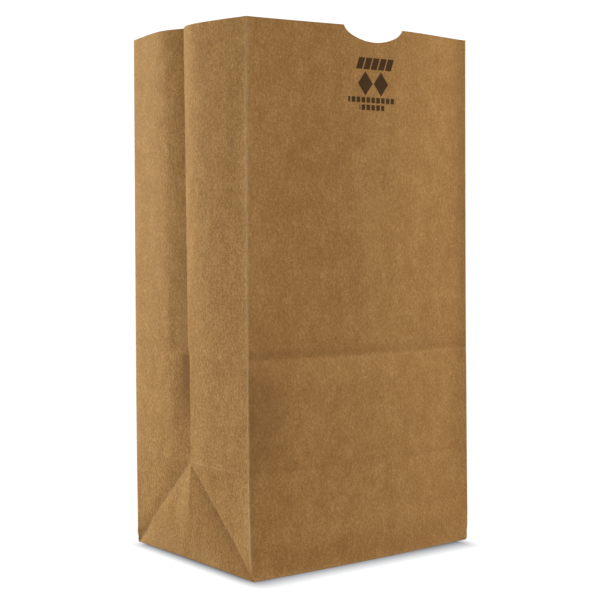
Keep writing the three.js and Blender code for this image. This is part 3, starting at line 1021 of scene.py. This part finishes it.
def kraft_fibre_group():
    """Mottle of light and dark fibres, fine upright streaks, specks, and the surface height."""
    group, given, out = new_group(
        "Kraft Fibre",
        [("Cloud Size", FLOAT, 0.011), ("Fibre Size", FLOAT, 0.0017),
         ("Upright Stretch", FLOAT, 1.45), ("Speck Size", FLOAT, 0.0065)],
        [("Cloud", FLOAT), ("Fibre", FLOAT), ("Grain", FLOAT), ("Speck", FLOAT),
         ("Height", FLOAT)])
    place = add(group, "ShaderNodeTexCoord").outputs["Object"]
    squeeze = add(group, "ShaderNodeCombineXYZ", {
        0: 1.0, 1: 1.0, 2: math_node(group, "DIVIDE", 1.0, given.outputs["Upright Stretch"])})
    drawn = add(group, "ShaderNodeVectorMath", {0: place, 1: squeeze.outputs[0]},
                operation="MULTIPLY").outputs[0]
    cloud_scale = math_node(group, "DIVIDE", 1.0, given.outputs["Cloud Size"])
    fibre_scale = math_node(group, "DIVIDE", 1.0, given.outputs["Fibre Size"])
    grain_scale = math_node(group, "MULTIPLY", fibre_scale, GRAIN_SHARE)
    speck_scale = math_node(group, "DIVIDE", 1.0, given.outputs["Speck Size"])
    cloud = add(group, "ShaderNodeTexNoise",
                {"Vector": drawn, "Scale": cloud_scale, "Detail": 2.0, "Roughness": 0.6})
    fibre = add(group, "ShaderNodeTexNoise",
                {"Vector": drawn, "Scale": fibre_scale, "Detail": 0.0})
    grain = add(group, "ShaderNodeTexNoise",
                {"Vector": place, "Scale": grain_scale, "Detail": 0.0})
    cell = add(group, "ShaderNodeTexVoronoi",
               {"Vector": place, "Scale": speck_scale, "Randomness": 1.0}, feature="F1")
    dot = remap(group, cell.outputs["Distance"], *SPECK_EDGE, 1.0, 0.0)
    chosen = remap(group, cell.outputs["Color"], *SPECK_CELLS)
    speck = math_node(group, "MULTIPLY", dot, chosen)
    height = math_node(group, "ADD", math_node(group, "MULTIPLY", fibre.outputs[0], 0.5),
                       math_node(group, "MULTIPLY", grain.outputs[0], 0.5))
    links = ((cloud.outputs[0], "Cloud"), (fibre.outputs[0], "Fibre"),
             (grain.outputs[0], "Grain"), (speck, "Speck"), (height, "Height"))
    for value, label in links:
        group.links.new(value, out.inputs[label])
    return group


def fold_wear_and_shading_group():
    """Wear on the folds with painted light and highlights, and painted shade in the creases and
    hollows.
    """
    group, given, out = new_group(
        "Fold Wear",
        [("Strength", FLOAT, 0.9), ("Break Size", FLOAT, 0.004)],
        [("Wear", FLOAT), ("Shade", FLOAT)])
    line = add(group, "ShaderNodeAttribute", attribute_name="fold_line").outputs["Fac"]
    place = add(group, "ShaderNodeTexCoord").outputs["Object"]
    scale = math_node(group, "DIVIDE", 1.0, given.outputs["Break Size"])
    grain = add(group, "ShaderNodeTexNoise", {"Vector": place, "Scale": scale, "Detail": 2.0})
    broken = remap(group, grain.outputs[0], *WEAR_AND_LIGHT_BREAKS, LEAST_WEAR_AND_LIGHT, 1.0)
    # Positive values are wear and painted light, negative values are painted shade
    wear_and_shading = math_node(group, "MULTIPLY", math_node(group, "MULTIPLY", line, broken),
                     given.outputs["Strength"], clamp=True)
    shade = math_node(group, "MULTIPLY", line, -1.0, clamp=True)
    group.links.new(wear_and_shading, out.inputs["Wear"])
    group.links.new(shade, out.inputs["Shade"])
    return group


def raking_gain(tree):
    """How much more the fibres show in the colour on the gussets than on the front and back panels:
    painted raking light.
    """
    normal = add(tree, "ShaderNodeTexCoord").outputs["Normal"]
    sideways = add(tree, "ShaderNodeSeparateXYZ", {0: normal}).outputs[0]
    return remap(tree, math_node(tree, "ABSOLUTE", sideways), *RAKED_FACING, 1.0, RAKED_GAIN)


def kraft_colour_group():
    """Base colour of kraft: clouds, fibres and grain, then wear with painted light on the folds,
    painted shade in creases, and specks.
    """
    grains = ("Cloud", "Fibre", "Grain")
    masks = ("Wear", "Shade", "Speck")
    colours = ("Kraft", "Light Fibre", "Dark Fibre", "Worn Fold", "Crease")
    inputs = [(label, FLOAT, 0.5) for label in grains]
    inputs += [(label + " Contrast", FLOAT, 1.0) for label in grains]
    inputs += [(label, FLOAT, 0.0) for label in masks]
    inputs += [(label, COLOUR, None) for label in colours]
    group, given, out = new_group("Kraft Colour", inputs, [("Color", COLOUR)])
    about_zero = {}
    for label in grains:
        centred = math_node(group, "SUBTRACT", given.outputs[label], 0.5)
        contrast = given.outputs[label + " Contrast"]
        about_zero[label] = math_node(group, "MULTIPLY", centred, contrast)
    fine = math_node(group, "ADD", about_zero["Fibre"], about_zero["Grain"])
    # Fibres raised in the colour on the gussets, as painted raking light
    fine = math_node(group, "MULTIPLY", fine, raking_gain(group))
    tone = math_node(group, "ADD", about_zero["Cloud"], fine)
    light = math_node(group, "MAXIMUM", tone, 0.0, clamp=True)
    dark = math_node(group, "MULTIPLY", tone, -1.0, clamp=True)
    specks = math_node(group, "MULTIPLY", given.outputs["Speck"], SPECK_STRENGTH)
    base = given.outputs["Kraft"]
    # The last two layers are wear with painted light, and painted crease shade
    layers = ((light, "Light Fibre"), (dark, "Dark Fibre"),
              (given.outputs["Wear"], "Worn Fold"), (given.outputs["Shade"], "Crease"))
    for mask, label in layers:
        base = mix_colour(group, mask, base, given.outputs[label])
    group.links.new(mix_colour(group, specks, base, SPECK_COLOUR), out.inputs["Color"])
    return group


def kraft_colour(tree, looks, colour_group, fibre, wear_and_shading):
    """The kraft colour group, fed by the fibres and by the wear and painted shading, with the user's
    looks.
    """
    values = {label: fibre.outputs[label] for label in ("Cloud", "Fibre", "Grain", "Speck")}
    values.update({label: wear_and_shading.outputs[label] for label in ("Wear", "Shade")})
    values.update({
        "Cloud Contrast": looks.cloud_contrast,
        "Fibre Contrast": looks.fibre_contrast,
        "Grain Contrast": looks.grain_contrast,
        "Kraft": opaque(looks.kraft),
        "Light Fibre": opaque(looks.kraft_light),
        "Dark Fibre": opaque(looks.kraft_dark),
        "Worn Fold": opaque(looks.worn_and_painted_light),
        "Crease": opaque(looks.painted_crease_shade),
    })
    return add(tree, "ShaderNodeGroup", values, node_tree=colour_group).outputs["Color"]


def paper_material(name, looks, groups, with_ink, sizes):
    """One finish of the kraft sheet, with the printed block on the outside one."""
    material = bpy.data.materials.new(name)
    material.use_nodes = True
    tree = material.node_tree
    shader = next(n for n in tree.nodes if n.type == "BSDF_PRINCIPLED")
    fibre = add(tree, "ShaderNodeGroup", node_tree=groups["fibre"])
    wear_and_shading = add(tree, "ShaderNodeGroup", node_tree=groups["wear_and_shading"])
    colour = kraft_colour(tree, looks, groups["colour"], fibre, wear_and_shading)
    if with_ink:
        mask = ink_mask(tree, sizes, fibre)
        colour = mix_colour(tree, mask, colour, opaque(looks.ink))
    rough = remap(tree, fibre.outputs["Fibre"], *FIBRE_LEVELS, *ROUGHNESS)
    bumps = add(tree, "ShaderNodeBump", {"Strength": FIBRE_BUMP, "Distance": FIBRE_HEIGHT,
                                         "Height": fibre.outputs["Height"]})
    tree.links.new(colour, shader.inputs["Base Color"])
    tree.links.new(rough, shader.inputs["Roughness"])
    tree.links.new(bumps.outputs[0], shader.inputs["Normal"])
    shader.inputs["Specular IOR Level"].default_value = SHEEN_LEVEL
    return material


# The printed block, in millimetres: a slanted bar cut by slits, two lozenges, and two rows of
# short dashes. Its middle is given from the panel's left fold and from the mouth. A shape is the
# place of its middle, and half its width and height

INK_MIDDLE = (107.2, 41.5)
INK_SLANTED_BAR = (1.8, 14.8, 17.1, 4.3)
INK_SLANT = 0.35
INK_SLIT_PITCH = 6.85
INK_SLIT = 1.1
INK_LOZENGES = ((-7.4, 0.2, 6.9, 9.0), (7.4, 0.2, 6.9, 9.0))
INK_LOZENGE_RISE = 0.7
INK_ROWS = ((-0.8, -11.9, 22.3, 2.0), (-1.1, -17.4, 11.7, 2.0))
INK_DASH = 4.6
INK_DASH_SHARE = 0.74

# Raggedness and softness of the ink's edge, and how much it covers
INK_RAGGED = 0.08
INK_SOFT = 0.12
INK_COVER = 0.92


class InkShapes:
    """Distances outside the ink's shapes, in millimetres, as shader nodes of one tree."""

    def __init__(self, tree, x, y):
        self.tree = tree
        self.x = x
        self.y = y

    def maths(self, operation, a, b=0.0):
        return math_node(self.tree, operation, a, b)

    def off(self, value, middle):
        """Distance of a value from its middle."""
        return self.maths("ABSOLUTE", self.maths("SUBTRACT", value, middle))

    def box(self, x, shape):
        middle_x, middle_y, half_x, half_y = shape
        across = self.maths("SUBTRACT", self.off(x, middle_x), half_x)
        along = self.maths("SUBTRACT", self.off(self.y, middle_y), half_y)
        return self.maths("MAXIMUM", across, along)

    def slanted_bar(self):
        middle_x, middle_y = INK_SLANTED_BAR[:2]
        lean = self.maths("MULTIPLY", self.maths("SUBTRACT", self.y, middle_y), INK_SLANT)
        slanted = self.maths("SUBTRACT", self.x, lean)
        shifted = self.maths("ADD", slanted, INK_SLIT_PITCH / 2 - middle_x)
        from_slit = self.maths("PINGPONG", shifted, INK_SLIT_PITCH / 2)
        in_slit = self.maths("SUBTRACT", INK_SLIT / 2, from_slit)
        return self.maths("MAXIMUM", self.box(slanted, INK_SLANTED_BAR), in_slit)

    def lozenge(self, shape):
        middle_x, middle_y, half_x, half_y = shape
        across = self.maths("DIVIDE", self.off(self.x, middle_x), half_x)
        along = self.maths("DIVIDE", self.off(self.y, middle_y), half_y)
        outside = self.maths("SUBTRACT", self.maths("ADD", across, along), 1.0)
        return self.maths("MULTIPLY", outside, INK_LOZENGE_RISE * min(half_x, half_y))

    def dashes(self, shape):
        from_gap = self.maths("PINGPONG", self.x, INK_DASH / 2)
        in_gap = self.maths("SUBTRACT", from_gap, INK_DASH * INK_DASH_SHARE / 2)
        return self.maths("MAXIMUM", self.box(self.x, shape), in_gap)


def ink_mask(tree, sizes, fibre):
    """Ink coverage on the front panel, from the sheet's own coordinates in the UV map."""
    sheet = add(tree, "ShaderNodeUVMap", uv_map="sheet").outputs[0]
    along, up = add(tree, "ShaderNodeSeparateXYZ", {0: sheet}).outputs[:2]
    middle_up = sizes.bag_height / MM - INK_MIDDLE[1]
    x = math_node(tree, "SUBTRACT", math_node(tree, "MULTIPLY", along, 1 / MM), INK_MIDDLE[0])
    y = math_node(tree, "SUBTRACT", math_node(tree, "MULTIPLY", up, 1 / MM), middle_up)
    ink = InkShapes(tree, x, y)
    shapes = [ink.slanted_bar()]
    shapes += [ink.lozenge(shape) for shape in INK_LOZENGES]
    shapes += [ink.dashes(shape) for shape in INK_ROWS]
    nearest = shapes[0]
    for shape in shapes[1:]:
        nearest = ink.maths("MINIMUM", nearest, shape)
    ragged = remap(tree, fibre.outputs["Fibre"], *FIBRE_LEVELS, -INK_RAGGED, INK_RAGGED)
    edge = ink.maths("SUBTRACT", nearest, ragged)
    cover = remap(tree, edge, -INK_SOFT, INK_SOFT, INK_COVER, 0.0)
    return ink.maths("MULTIPLY", cover, ink.maths("LESS_THAN", along, sizes.panel_width))


def paper_materials(context):
    """The outside, inside and cut-edge finishes, made once."""
    if FINISHES[0] not in bpy.data.materials:
        looks = context.scene.kraft_looks
        sizes = context.scene.kraft_sizes
        groups = {"fibre": kraft_fibre_group(), "wear_and_shading": fold_wear_and_shading_group(),
                  "colour": kraft_colour_group()}
        for name in FINISHES:
            paper_material(name, looks, groups, name == FINISHES[0], sizes)
    return [bpy.data.materials[name] for name in FINISHES]


# Meshes

# Thickness of a layer that is glued to another, as a share of the sheet's, so that they stay apart
LAYER_SHARE = 0.9


def grid_faces(row_count, column_count):
    """Quads between the points of an open grid."""
    faces = []
    for row in range(row_count - 1):
        for column in range(column_count - 1):
            a = row * column_count + column
            faces.append((a, a + 1, a + column_count + 1, a + column_count))
    return faces


def sheet_object(context, name, points, faces, uv, fold_line, thickness):
    """A sheet of paper with thickness, its sheet coordinates, and its fold wear with painted light and
    shade.
    """
    mesh = bpy.data.meshes.new(name)
    mesh.from_pydata(points.reshape(-1, 3).tolist(), [], faces)
    layer = mesh.uv_layers.new(name="sheet")
    loops = np.empty(len(mesh.loops), np.int32)
    mesh.loops.foreach_get("vertex_index", loops)
    layer.data.foreach_set("uv", uv.reshape(-1, 2)[loops].astype(np.float32).ravel())
    marks = mesh.attributes.new("fold_line", "FLOAT", "POINT")
    marks.data.foreach_set("value", fold_line.ravel().astype(np.float32))
    for material in paper_materials(context):
        mesh.materials.append(material)
    mesh.shade_smooth()
    piece = bpy.data.objects.new(name, mesh)
    context.scene.collection.objects.link(piece)
    skin = piece.modifiers.new("paper", "SOLIDIFY")
    skin.thickness = thickness
    skin.offset = -1.0
    skin.material_offset = 1
    skin.material_offset_rim = 2
    return piece


def settle(context, piece):
    """Applies the piece's modifiers, and lets it ride on the bag's body."""
    context.view_layer.update()
    graph = context.evaluated_depsgraph_get()
    mesh = bpy.data.meshes.new_from_object(piece.evaluated_get(graph), depsgraph=graph)
    places = np.empty(3 * len(mesh.vertices), np.float32)
    mesh.vertices.foreach_get("co", places)
    places[2::3] = np.maximum(places[2::3], 0)
    mesh.vertices.foreach_set("co", places)
    piece.modifiers.clear()
    piece.data = mesh
    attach(piece, BODY)
    return piece


# Operators

class KRAFTBAG_OT_fold_tube(bpy.types.Operator):
    """Fold the sheet into the open gusseted tube with its thumb cut"""

    bl_idname = "kraftbag.fold_tube"
    bl_label = "Fold Tube"

    def execute(self, context):
        sizes = context.scene.kraft_sizes
        form = context.scene.kraft_form
        columns = tube_columns(sizes)
        rows = tube_rows(sizes)
        cut_top = sizes.bag_height - CUT_DRAW * sizes.cut_depth
        xy_parts, z_parts, s_parts, line_parts, risers = [], [], [], [], []
        for name, places, width, start in columns:
            u = np.broadcast_to(places[None, :-1], (len(rows), len(places) - 1))
            z = np.repeat(rows[:, None], len(places) - 1, axis=1)
            if name == "front":
                depth = thumb_cut_depth(sizes, (u - 0.5) * sizes.panel_width - sizes.cut_offset)
                share = np.clip((z - cut_top) / (sizes.bag_height - cut_top), 0, 1)
                z = z - depth * share
            xy_parts.append(face_xy(sizes, form, name, u, z))
            z_parts.append(z)
            s_parts.append(start + u * width)
            marks = panel_wear_and_shading if name in ("front", "back") else gusset_wear_and_shading
            line_parts.append(marks(sizes, name, u, z))
            risers.extend([name in CORNER_FIRST] * (len(places) - 1))
        xy = np.concatenate(xy_parts, axis=1)
        z = np.concatenate(z_parts, axis=1)
        s = np.concatenate(s_parts, axis=1)
        lines = np.concatenate(line_parts, axis=1)
        xy = round_folds(xy, form.fold_radius)
        relief = paper_relief(sizes, form, s, z, sheet_folds(columns)) - bottom_curl(z)
        xy = xy + ring_normals(xy) * relief[..., None]
        points = np.concatenate([xy, z[..., None]], axis=-1)
        uv = np.stack([s, z], axis=-1)
        faces = self.faces(len(rows), s.shape[1], risers, rows, sizes)
        piece = sheet_object(context, "bag_walls", points, faces, uv, lines, sizes.paper_thickness)
        settle(context, piece)
        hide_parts(NODE)
        return {"FINISHED"}

    @staticmethod
    def faces(row_count, column_count, risers, rows, sizes):
        """Quads, split along the diagonal folds in the mitre zone."""
        faces = []
        mitre_rows = int(np.searchsorted(rows, sizes.mitre_height - TINY))
        for row in range(row_count - 1):
            for column in range(column_count):
                after = (column + 1) % column_count
                a = row * column_count + column
                b = row * column_count + after
                c = b + column_count
                d = a + column_count
                if row < mitre_rows and risers[column]:
                    faces += [(a, b, c), (a, c, d)]
                elif row < mitre_rows:
                    faces += [(a, b, d), (b, c, d)]
                else:
                    faces.append((a, b, c, d))
        return faces


# Lap on the back panel: the ramp up to it, columns on the ramp and on the lap, its least lift as
# a share of a sheet, and how far its free edge curls off, over what reach
LAP_RAMP = 3 * MM
LAP_RAMP_COLUMNS = 4
LAP_COLUMNS = 9
LAP_LEAST_LIFT = 0.1
LAP_CURL = 0.25 * MM
LAP_CURL_REACH = 2.5 * MM
LAP_WEAR = (0.5, 0, 0.8 * MM)


class KRAFTBAG_OT_lay_back_lap(bpy.types.Operator):
    """Lay the glued lap down the back panel"""

    bl_idname = "kraftbag.lay_back_lap"
    bl_label = "Lay Back Lap"

    def execute(self, context):
        sizes = context.scene.kraft_sizes
        form = context.scene.kraft_form
        outer = 1 - sizes.seam_inset / sizes.panel_width
        inner = outer - sizes.seam_overlap / sizes.panel_width
        ramp = LAP_RAMP / sizes.panel_width
        places = np.concatenate([np.linspace(inner - ramp, inner, LAP_RAMP_COLUMNS),
                                 np.linspace(inner, outer, LAP_COLUMNS)[1:]])
        rows = tube_rows(sizes)[::2]
        u = np.broadcast_to(places[None, :], (len(rows), len(places)))
        z = np.repeat(rows[:, None], len(places), axis=1)
        from_edge = (outer - u) * sizes.panel_width
        lift = sizes.paper_thickness * np.clip((u - inner + ramp) / ramp, LAP_LEAST_LIFT, 1)
        wave = Ripples(form.seed + LAP_SEED, *LAP_WAVES).at(z, z * 0)
        curl = LAP_CURL * bump(from_edge, 0, LAP_CURL_REACH) * np.clip(0.5 + 0.5 * wave, 0, 1)
        start = corner_fold(sizes, 1, 1, "rear_right", z)
        end = corner_fold(sizes, -1, 1, "rear_left", z)
        s = sizes.panel_width + sizes.gusset_width + u * sizes.panel_width
        relief = paper_relief(sizes, form, s, z, sheet_folds(tube_columns(sizes)))
        rise = back_rise(sizes, form, u, z) + lift + curl + relief
        points = np.concatenate([face_points(start, end, u, rise), z[..., None]], axis=-1)
        uv = np.stack([s, z], axis=-1)
        piece = sheet_object(context, "back_lap", points, grid_faces(*z.shape), uv,
                             band(from_edge, 0, LAP_WEAR), LAYER_SHARE * sizes.paper_thickness)
        settle(context, piece)
        return {"FINISHED"}


# Bottom flaps: columns and rows of each, the level of the side flaps over the table, the lift of
# a flap over its level and the height of its waves, all three in sheets, and a place on the
# sheet, in metres, that is clear of the walls and their ink
FLAP_GRID = (29, 17)
SIDE_FLAP_LEVEL = 3
FLAP_LIFT = 1.1
FLAP_WAVE = 0.18
FLAP_SHEET_PLACE = 1.0


class KRAFTBAG_OT_fold_bottom(bpy.types.Operator):
    """Fold the bottom: side flaps inside, then the rear flap, then the front flap"""

    bl_idname = "kraftbag.fold_bottom"
    bl_label = "Fold Bottom"

    def execute(self, context):
        sizes = context.scene.kraft_sizes
        half_panel = sizes.panel_width / 2 - FLAP_INSET
        half_gusset = sizes.gusset_width / 2 - FLAP_INSET
        length = half_gusset + sizes.flap_overlap / 2
        tongue = min(length + sizes.cut_depth, half_panel)
        sheet = sizes.paper_thickness
        self.mitred_flap(context, "front_flap", -1, tongue, 0.0, sheet)
        self.mitred_flap(context, "rear_flap", 1, min(length, half_panel), sheet, sheet)
        for name, side in (("side_flap_left", -1), ("side_flap_right", 1)):
            edge = side * half_panel
            end = side * (half_panel - length)
            outline = [(edge, -half_gusset), (end, -half_gusset),
                       (end, half_gusset), (edge, half_gusset)]
            self.flap(context, name, outline, SIDE_FLAP_LEVEL * sheet, sheet)
        return {"FINISHED"}

    def mitred_flap(self, context, name, side, reach, level, sheet):
        """A flap whose ends are folded at 45 degrees, from one long edge of the bottom."""
        sizes = context.scene.kraft_sizes
        half_panel = sizes.panel_width / 2 - FLAP_INSET
        edge = side * (sizes.gusset_width / 2 - FLAP_INSET)
        tip = half_panel - reach
        outline = [(-half_panel, edge), (half_panel, edge),
                   (tip, edge - side * reach), (-tip, edge - side * reach)]
        return self.flap(context, name, outline, level, sheet)

    @staticmethod
    def flap(context, name, outline, level, sheet):
        """A flat flap over a four-sided outline, gridded so that it can ripple."""
        sizes = context.scene.kraft_sizes
        corners = np.array(outline)
        after = np.roll(corners, -1, axis=0)
        if (corners[:, 0] * after[:, 1] - after[:, 0] * corners[:, 1]).sum() < 0:
            corners = corners[::-1]
        across, along = (np.linspace(0, 1, count) for count in FLAP_GRID)
        across = across[None, :, None]
        along = along[:, None, None]
        near = corners[0] * (1 - across) + corners[1] * across
        far = corners[3] * (1 - across) + corners[2] * across
        xy = near * (1 - along) + far * along
        wide = even_swell(0.5 + xy[..., 0] / sizes.panel_width)
        forward = np.clip(-xy[..., 1] / (sizes.gusset_width / 2), 0, 1)
        xy[..., 1] -= FOOT_BOW * wide * forward ** 2
        form = context.scene.kraft_form
        waves = Ripples(form.seed + FLAP_SEED, *FLAP_WAVES).at(xy[..., 0], xy[..., 1])
        calm = (np.minimum(EDGE_HOLD * even_swell(across[..., 0]), 1)
                * np.minimum(EDGE_HOLD * even_swell(along[..., 0]), 1))
        z = level + sheet * (FLAP_LIFT + FLAP_WAVE * np.clip(waves, -1, 1) * calm)
        points = np.concatenate([xy, z[..., None]], axis=-1)
        piece = sheet_object(context, name, points, grid_faces(*z.shape), xy + FLAP_SHEET_PLACE,
                             np.zeros(z.shape), LAYER_SHARE * sheet)
        return settle(context, piece)


# Stage, in metres: each soft light's power among the looks, its place, width and colour

LIGHTS = {
    "key_left": ("key_power", (-0.95, 1.60, 0.55), 1.0, (0.93, 1.0, 0.99)),
    "fill_right": ("fill_power", (1.45, -1.15, 0.60), 1.0, (1.0, 1.0, 1.0)),
    "side_left": ("side_power", (-1.90, -0.10, 0.35), 1.0, (1.0, 1.0, 1.0)),
    "top": ("top_power", (0.0, 0.0, 2.0), 1.8, (1.0, 1.0, 1.0)),
}
LIGHT_AIM = (0.0, 0.0, 0.2)

# Brightness of the surround and of the floor as the camera sees them, and the cosines from the
# camera's side between which the surround's light grows
SURROUND_SEEN = 1.1
SURROUND_TURN = (0.85, -0.35)
FLOOR_REACH = 8.0
FLOOR_COLOUR = (0.50, 0.50, 0.50, 1.0)
FLOOR_ROUGHNESS = 0.9
FLOOR_SEEN = (1.05, 1.05, 1.05, 1.0)

# Painted contact shadow on the floor: how far it reaches beyond the bottom, sideways and to the front
# and back, and where it fades away to the right and to the rear, from inside the bottom's edge to
# outside it
SHADOW_REACH = (0.0135, 0.0260)
SHADOW_FADE = ((-10 * MM, 3 * MM), (-14 * MM, 1 * MM))
SHADOW_ROUNDNESS = 5.0
SHADOW_FALL = 1.2
SHADOW_SEEN = (0.17, 0.18, 0.20, 1.0)

# Camera fitted to the corners of the bag in the photograph, in metres and degrees
CAMERA_PLACE = (-0.65274, -0.84427, 0.24976)
CAMERA_HEADING = 37.6
CAMERA_DROP = 3.04
CAMERA_SENSOR = 36.0
CAMERA_CLIP = 0.01


class KRAFTBAG_OT_set_stage(bpy.types.Operator):
    """Set the pale floor, the soft lights and the camera at the photograph's angle"""

    bl_idname = "kraftbag.set_stage"
    bl_label = "Set Stage"

    def execute(self, context):
        stage = context.scene.kraft_stage
        self.floor(context)
        self.surround(context, stage)
        for name in LIGHTS:
            self.soft_light(context, stage, name)
        self.camera(context, stage)
        context.scene.view_settings.view_transform = "Standard"
        return {"FINISHED"}

    def floor(self, context):
        """A wide floor that is lit as plain grey, and is seen as white with a painted contact shadow.
        """
        mesh = bpy.data.meshes.new("floor")
        turns = ((-1, -1), (1, -1), (1, 1), (-1, 1))
        mesh.from_pydata([(x * FLOOR_REACH, y * FLOOR_REACH, 0) for x, y in turns], [], [(0, 1, 2, 3)])
        material = bpy.data.materials.new("pale_floor")
        material.use_nodes = True
        tree = material.node_tree
        shader = next(n for n in tree.nodes if n.type == "BSDF_PRINCIPLED")
        shader.inputs["Base Color"].default_value = FLOOR_COLOUR
        shader.inputs["Roughness"].default_value = FLOOR_ROUGHNESS
        tone = self.contact_tone(tree, context.scene.kraft_sizes)
        # The camera sees white with the painted contact shadow
        seen = add(tree, "ShaderNodeEmission", {"Color": tone, "Strength": 1.0})
        self.show_to_camera(tree, "OUTPUT_MATERIAL", shader, seen)
        mesh.materials.append(material)
        piece = bpy.data.objects.new("floor", mesh)
        context.scene.collection.objects.link(piece)

    @staticmethod
    def show_to_camera(tree, output_type, lit, seen):
        """Lets the camera see one shader, while the light in the scene meets another."""
        output = next(n for n in tree.nodes if n.type == output_type)
        ray = add(tree, "ShaderNodeLightPath").outputs["Is Camera Ray"]
        mixed = add(tree, "ShaderNodeMixShader", {0: ray, 1: lit.outputs[0], 2: seen.outputs[0]})
        tree.links.new(mixed.outputs[0], output.inputs["Surface"])

    @staticmethod
    def contact_tone(tree, sizes):
        """White floor with a painted soft shadow that fades with the distance from the bag's bottom."""
        place = add(tree, "ShaderNodeTexCoord").outputs["Object"]
        parts = add(tree, "ShaderNodeSeparateXYZ", {0: place})
        halves = (sizes.panel_width / 2, sizes.gusset_width / 2)
        powers = []
        for axis, (half, reach) in enumerate(zip(halves, SHADOW_REACH)):
            away = math_node(tree, "ABSOLUTE", parts.outputs[axis])
            out = math_node(tree, "MAXIMUM", math_node(tree, "SUBTRACT", away, half - reach), 0.0)
            share = math_node(tree, "DIVIDE", out, reach)
            powers.append(math_node(tree, "POWER", share, SHADOW_ROUNDNESS))
        gap = math_node(tree, "POWER", math_node(tree, "ADD", *powers), 1 / SHADOW_ROUNDNESS)
        left = remap(tree, gap, 1.0, 2.0, 1.0, 0.0)
        for axis, (half, (begin, end)) in enumerate(zip(halves, SHADOW_FADE)):
            fade = remap(tree, parts.outputs[axis], half + begin, half + end, 1.0, 0.0)
            left = math_node(tree, "MULTIPLY", left, fade)
        dark = math_node(tree, "POWER", left, SHADOW_FALL)
        return mix_colour(tree, dark, FLOOR_SEEN, SHADOW_SEEN)

    def surround(self, context, stage):
        """White to the camera; as a light it is bright behind the bag and dim behind the camera."""
        world = bpy.data.worlds.new("pale_surround")
        world.use_nodes = True
        tree = world.node_tree
        background = next(n for n in tree.nodes if n.type == "BACKGROUND")
        heading = add(tree, "ShaderNodeTexCoord").outputs["Generated"]
        camera_side = Vector(CAMERA_PLACE)
        camera_side.z = 0.0
        camera_side.normalize()
        facing = add(tree, "ShaderNodeVectorMath", {0: heading, 1: tuple(camera_side)},
                     operation="DOT_PRODUCT").outputs["Value"]
        glow = remap(tree, facing, *SURROUND_TURN, stage.sky_near, stage.sky_far)
        tree.links.new(glow, background.inputs["Strength"])
        background.inputs["Color"].default_value = (1.0, 1.0, 1.0, 1.0)
        seen = add(tree, "ShaderNodeBackground",
                   {"Color": (1.0, 1.0, 1.0, 1.0), "Strength": SURROUND_SEEN})
        self.show_to_camera(tree, "OUTPUT_WORLD", background, seen)
        context.scene.world = world

    @staticmethod
    def soft_light(context, stage, name):
        power, place, width, colour = LIGHTS[name]
        light = bpy.data.lights.new(name, "AREA")
        light.shape = "DISK"
        light.size = width
        light.energy = getattr(stage, power)
        light.color = colour
        lamp = bpy.data.objects.new(name, light)
        lamp.location = place
        aim = Vector(LIGHT_AIM) - Vector(place)
        lamp.rotation_euler = aim.to_track_quat("-Z", "Y").to_euler()
        context.scene.collection.objects.link(lamp)

    @staticmethod
    def camera(context, stage):
        data = bpy.data.cameras.new("photo_camera")
        data.sensor_width = CAMERA_SENSOR
        data.sensor_fit = "HORIZONTAL"
        data.lens = stage.focal_pixels / IMAGE_SIZE * data.sensor_width
        data.clip_start = CAMERA_CLIP
        camera = bpy.data.objects.new("photo_camera", data)
        camera.location = CAMERA_PLACE
        heading = math.radians(CAMERA_HEADING)
        drop = math.radians(CAMERA_DROP)
        look = Vector((math.sin(heading) * math.cos(drop), math.cos(heading) * math.cos(drop),
                       -math.sin(drop)))
        camera.rotation_euler = look.to_track_quat("-Z", "Y").to_euler()
        context.scene.collection.objects.link(camera)
        context.scene.camera = camera


class KRAFTBAG_PT_panel(bpy.types.Panel):
    """Lists the bag's sizes, looks and steps"""

    bl_idname = "KRAFTBAG_PT_panel"
    bl_label = "Kraft Bag"
    bl_space_type = "VIEW_3D"
    bl_region_type = "UI"
    bl_category = "Kraft Bag"

    def draw(self, context):
        for group in ("kraft_sizes", "kraft_form", "kraft_looks", "kraft_stage"):
            box = self.layout.box()
            settings = getattr(context.scene, group)
            for key in settings.bl_rna.properties.keys():
                if key not in ("rna_type", "name"):
                    box.prop(settings, key)
        for step in STEPS:
            self.layout.operator(step.bl_idname)


STEPS = (KRAFTBAG_OT_fold_tube, KRAFTBAG_OT_lay_back_lap, KRAFTBAG_OT_fold_bottom,
         KRAFTBAG_OT_set_stage)
GROUPS = {"kraft_sizes": BagSizes, "kraft_form": BagForm, "kraft_looks": PaperLooks,
          "kraft_stage": StageLooks}


def register():
    for group in GROUPS.values():
        bpy.utils.register_class(group)
    for item in (*STEPS, KRAFTBAG_PT_panel):
        bpy.utils.register_class(item)
    for name, group in GROUPS.items():
        setattr(bpy.types.Scene, name, PointerProperty(type=group))


def unregister():
    for name in GROUPS:
        delattr(bpy.types.Scene, name)
    for item in (KRAFTBAG_PT_panel, *reversed(STEPS)):
        bpy.utils.unregister_class(item)
    for group in reversed(GROUPS.values()):
        bpy.utils.unregister_class(group)


def main():
    register()
    bpy.ops.kraftbag.fold_tube()
    bpy.ops.kraftbag.lay_back_lap()
    bpy.ops.kraftbag.fold_bottom()
    bpy.ops.kraftbag.set_stage()


if __name__ == "__main__":
    main()
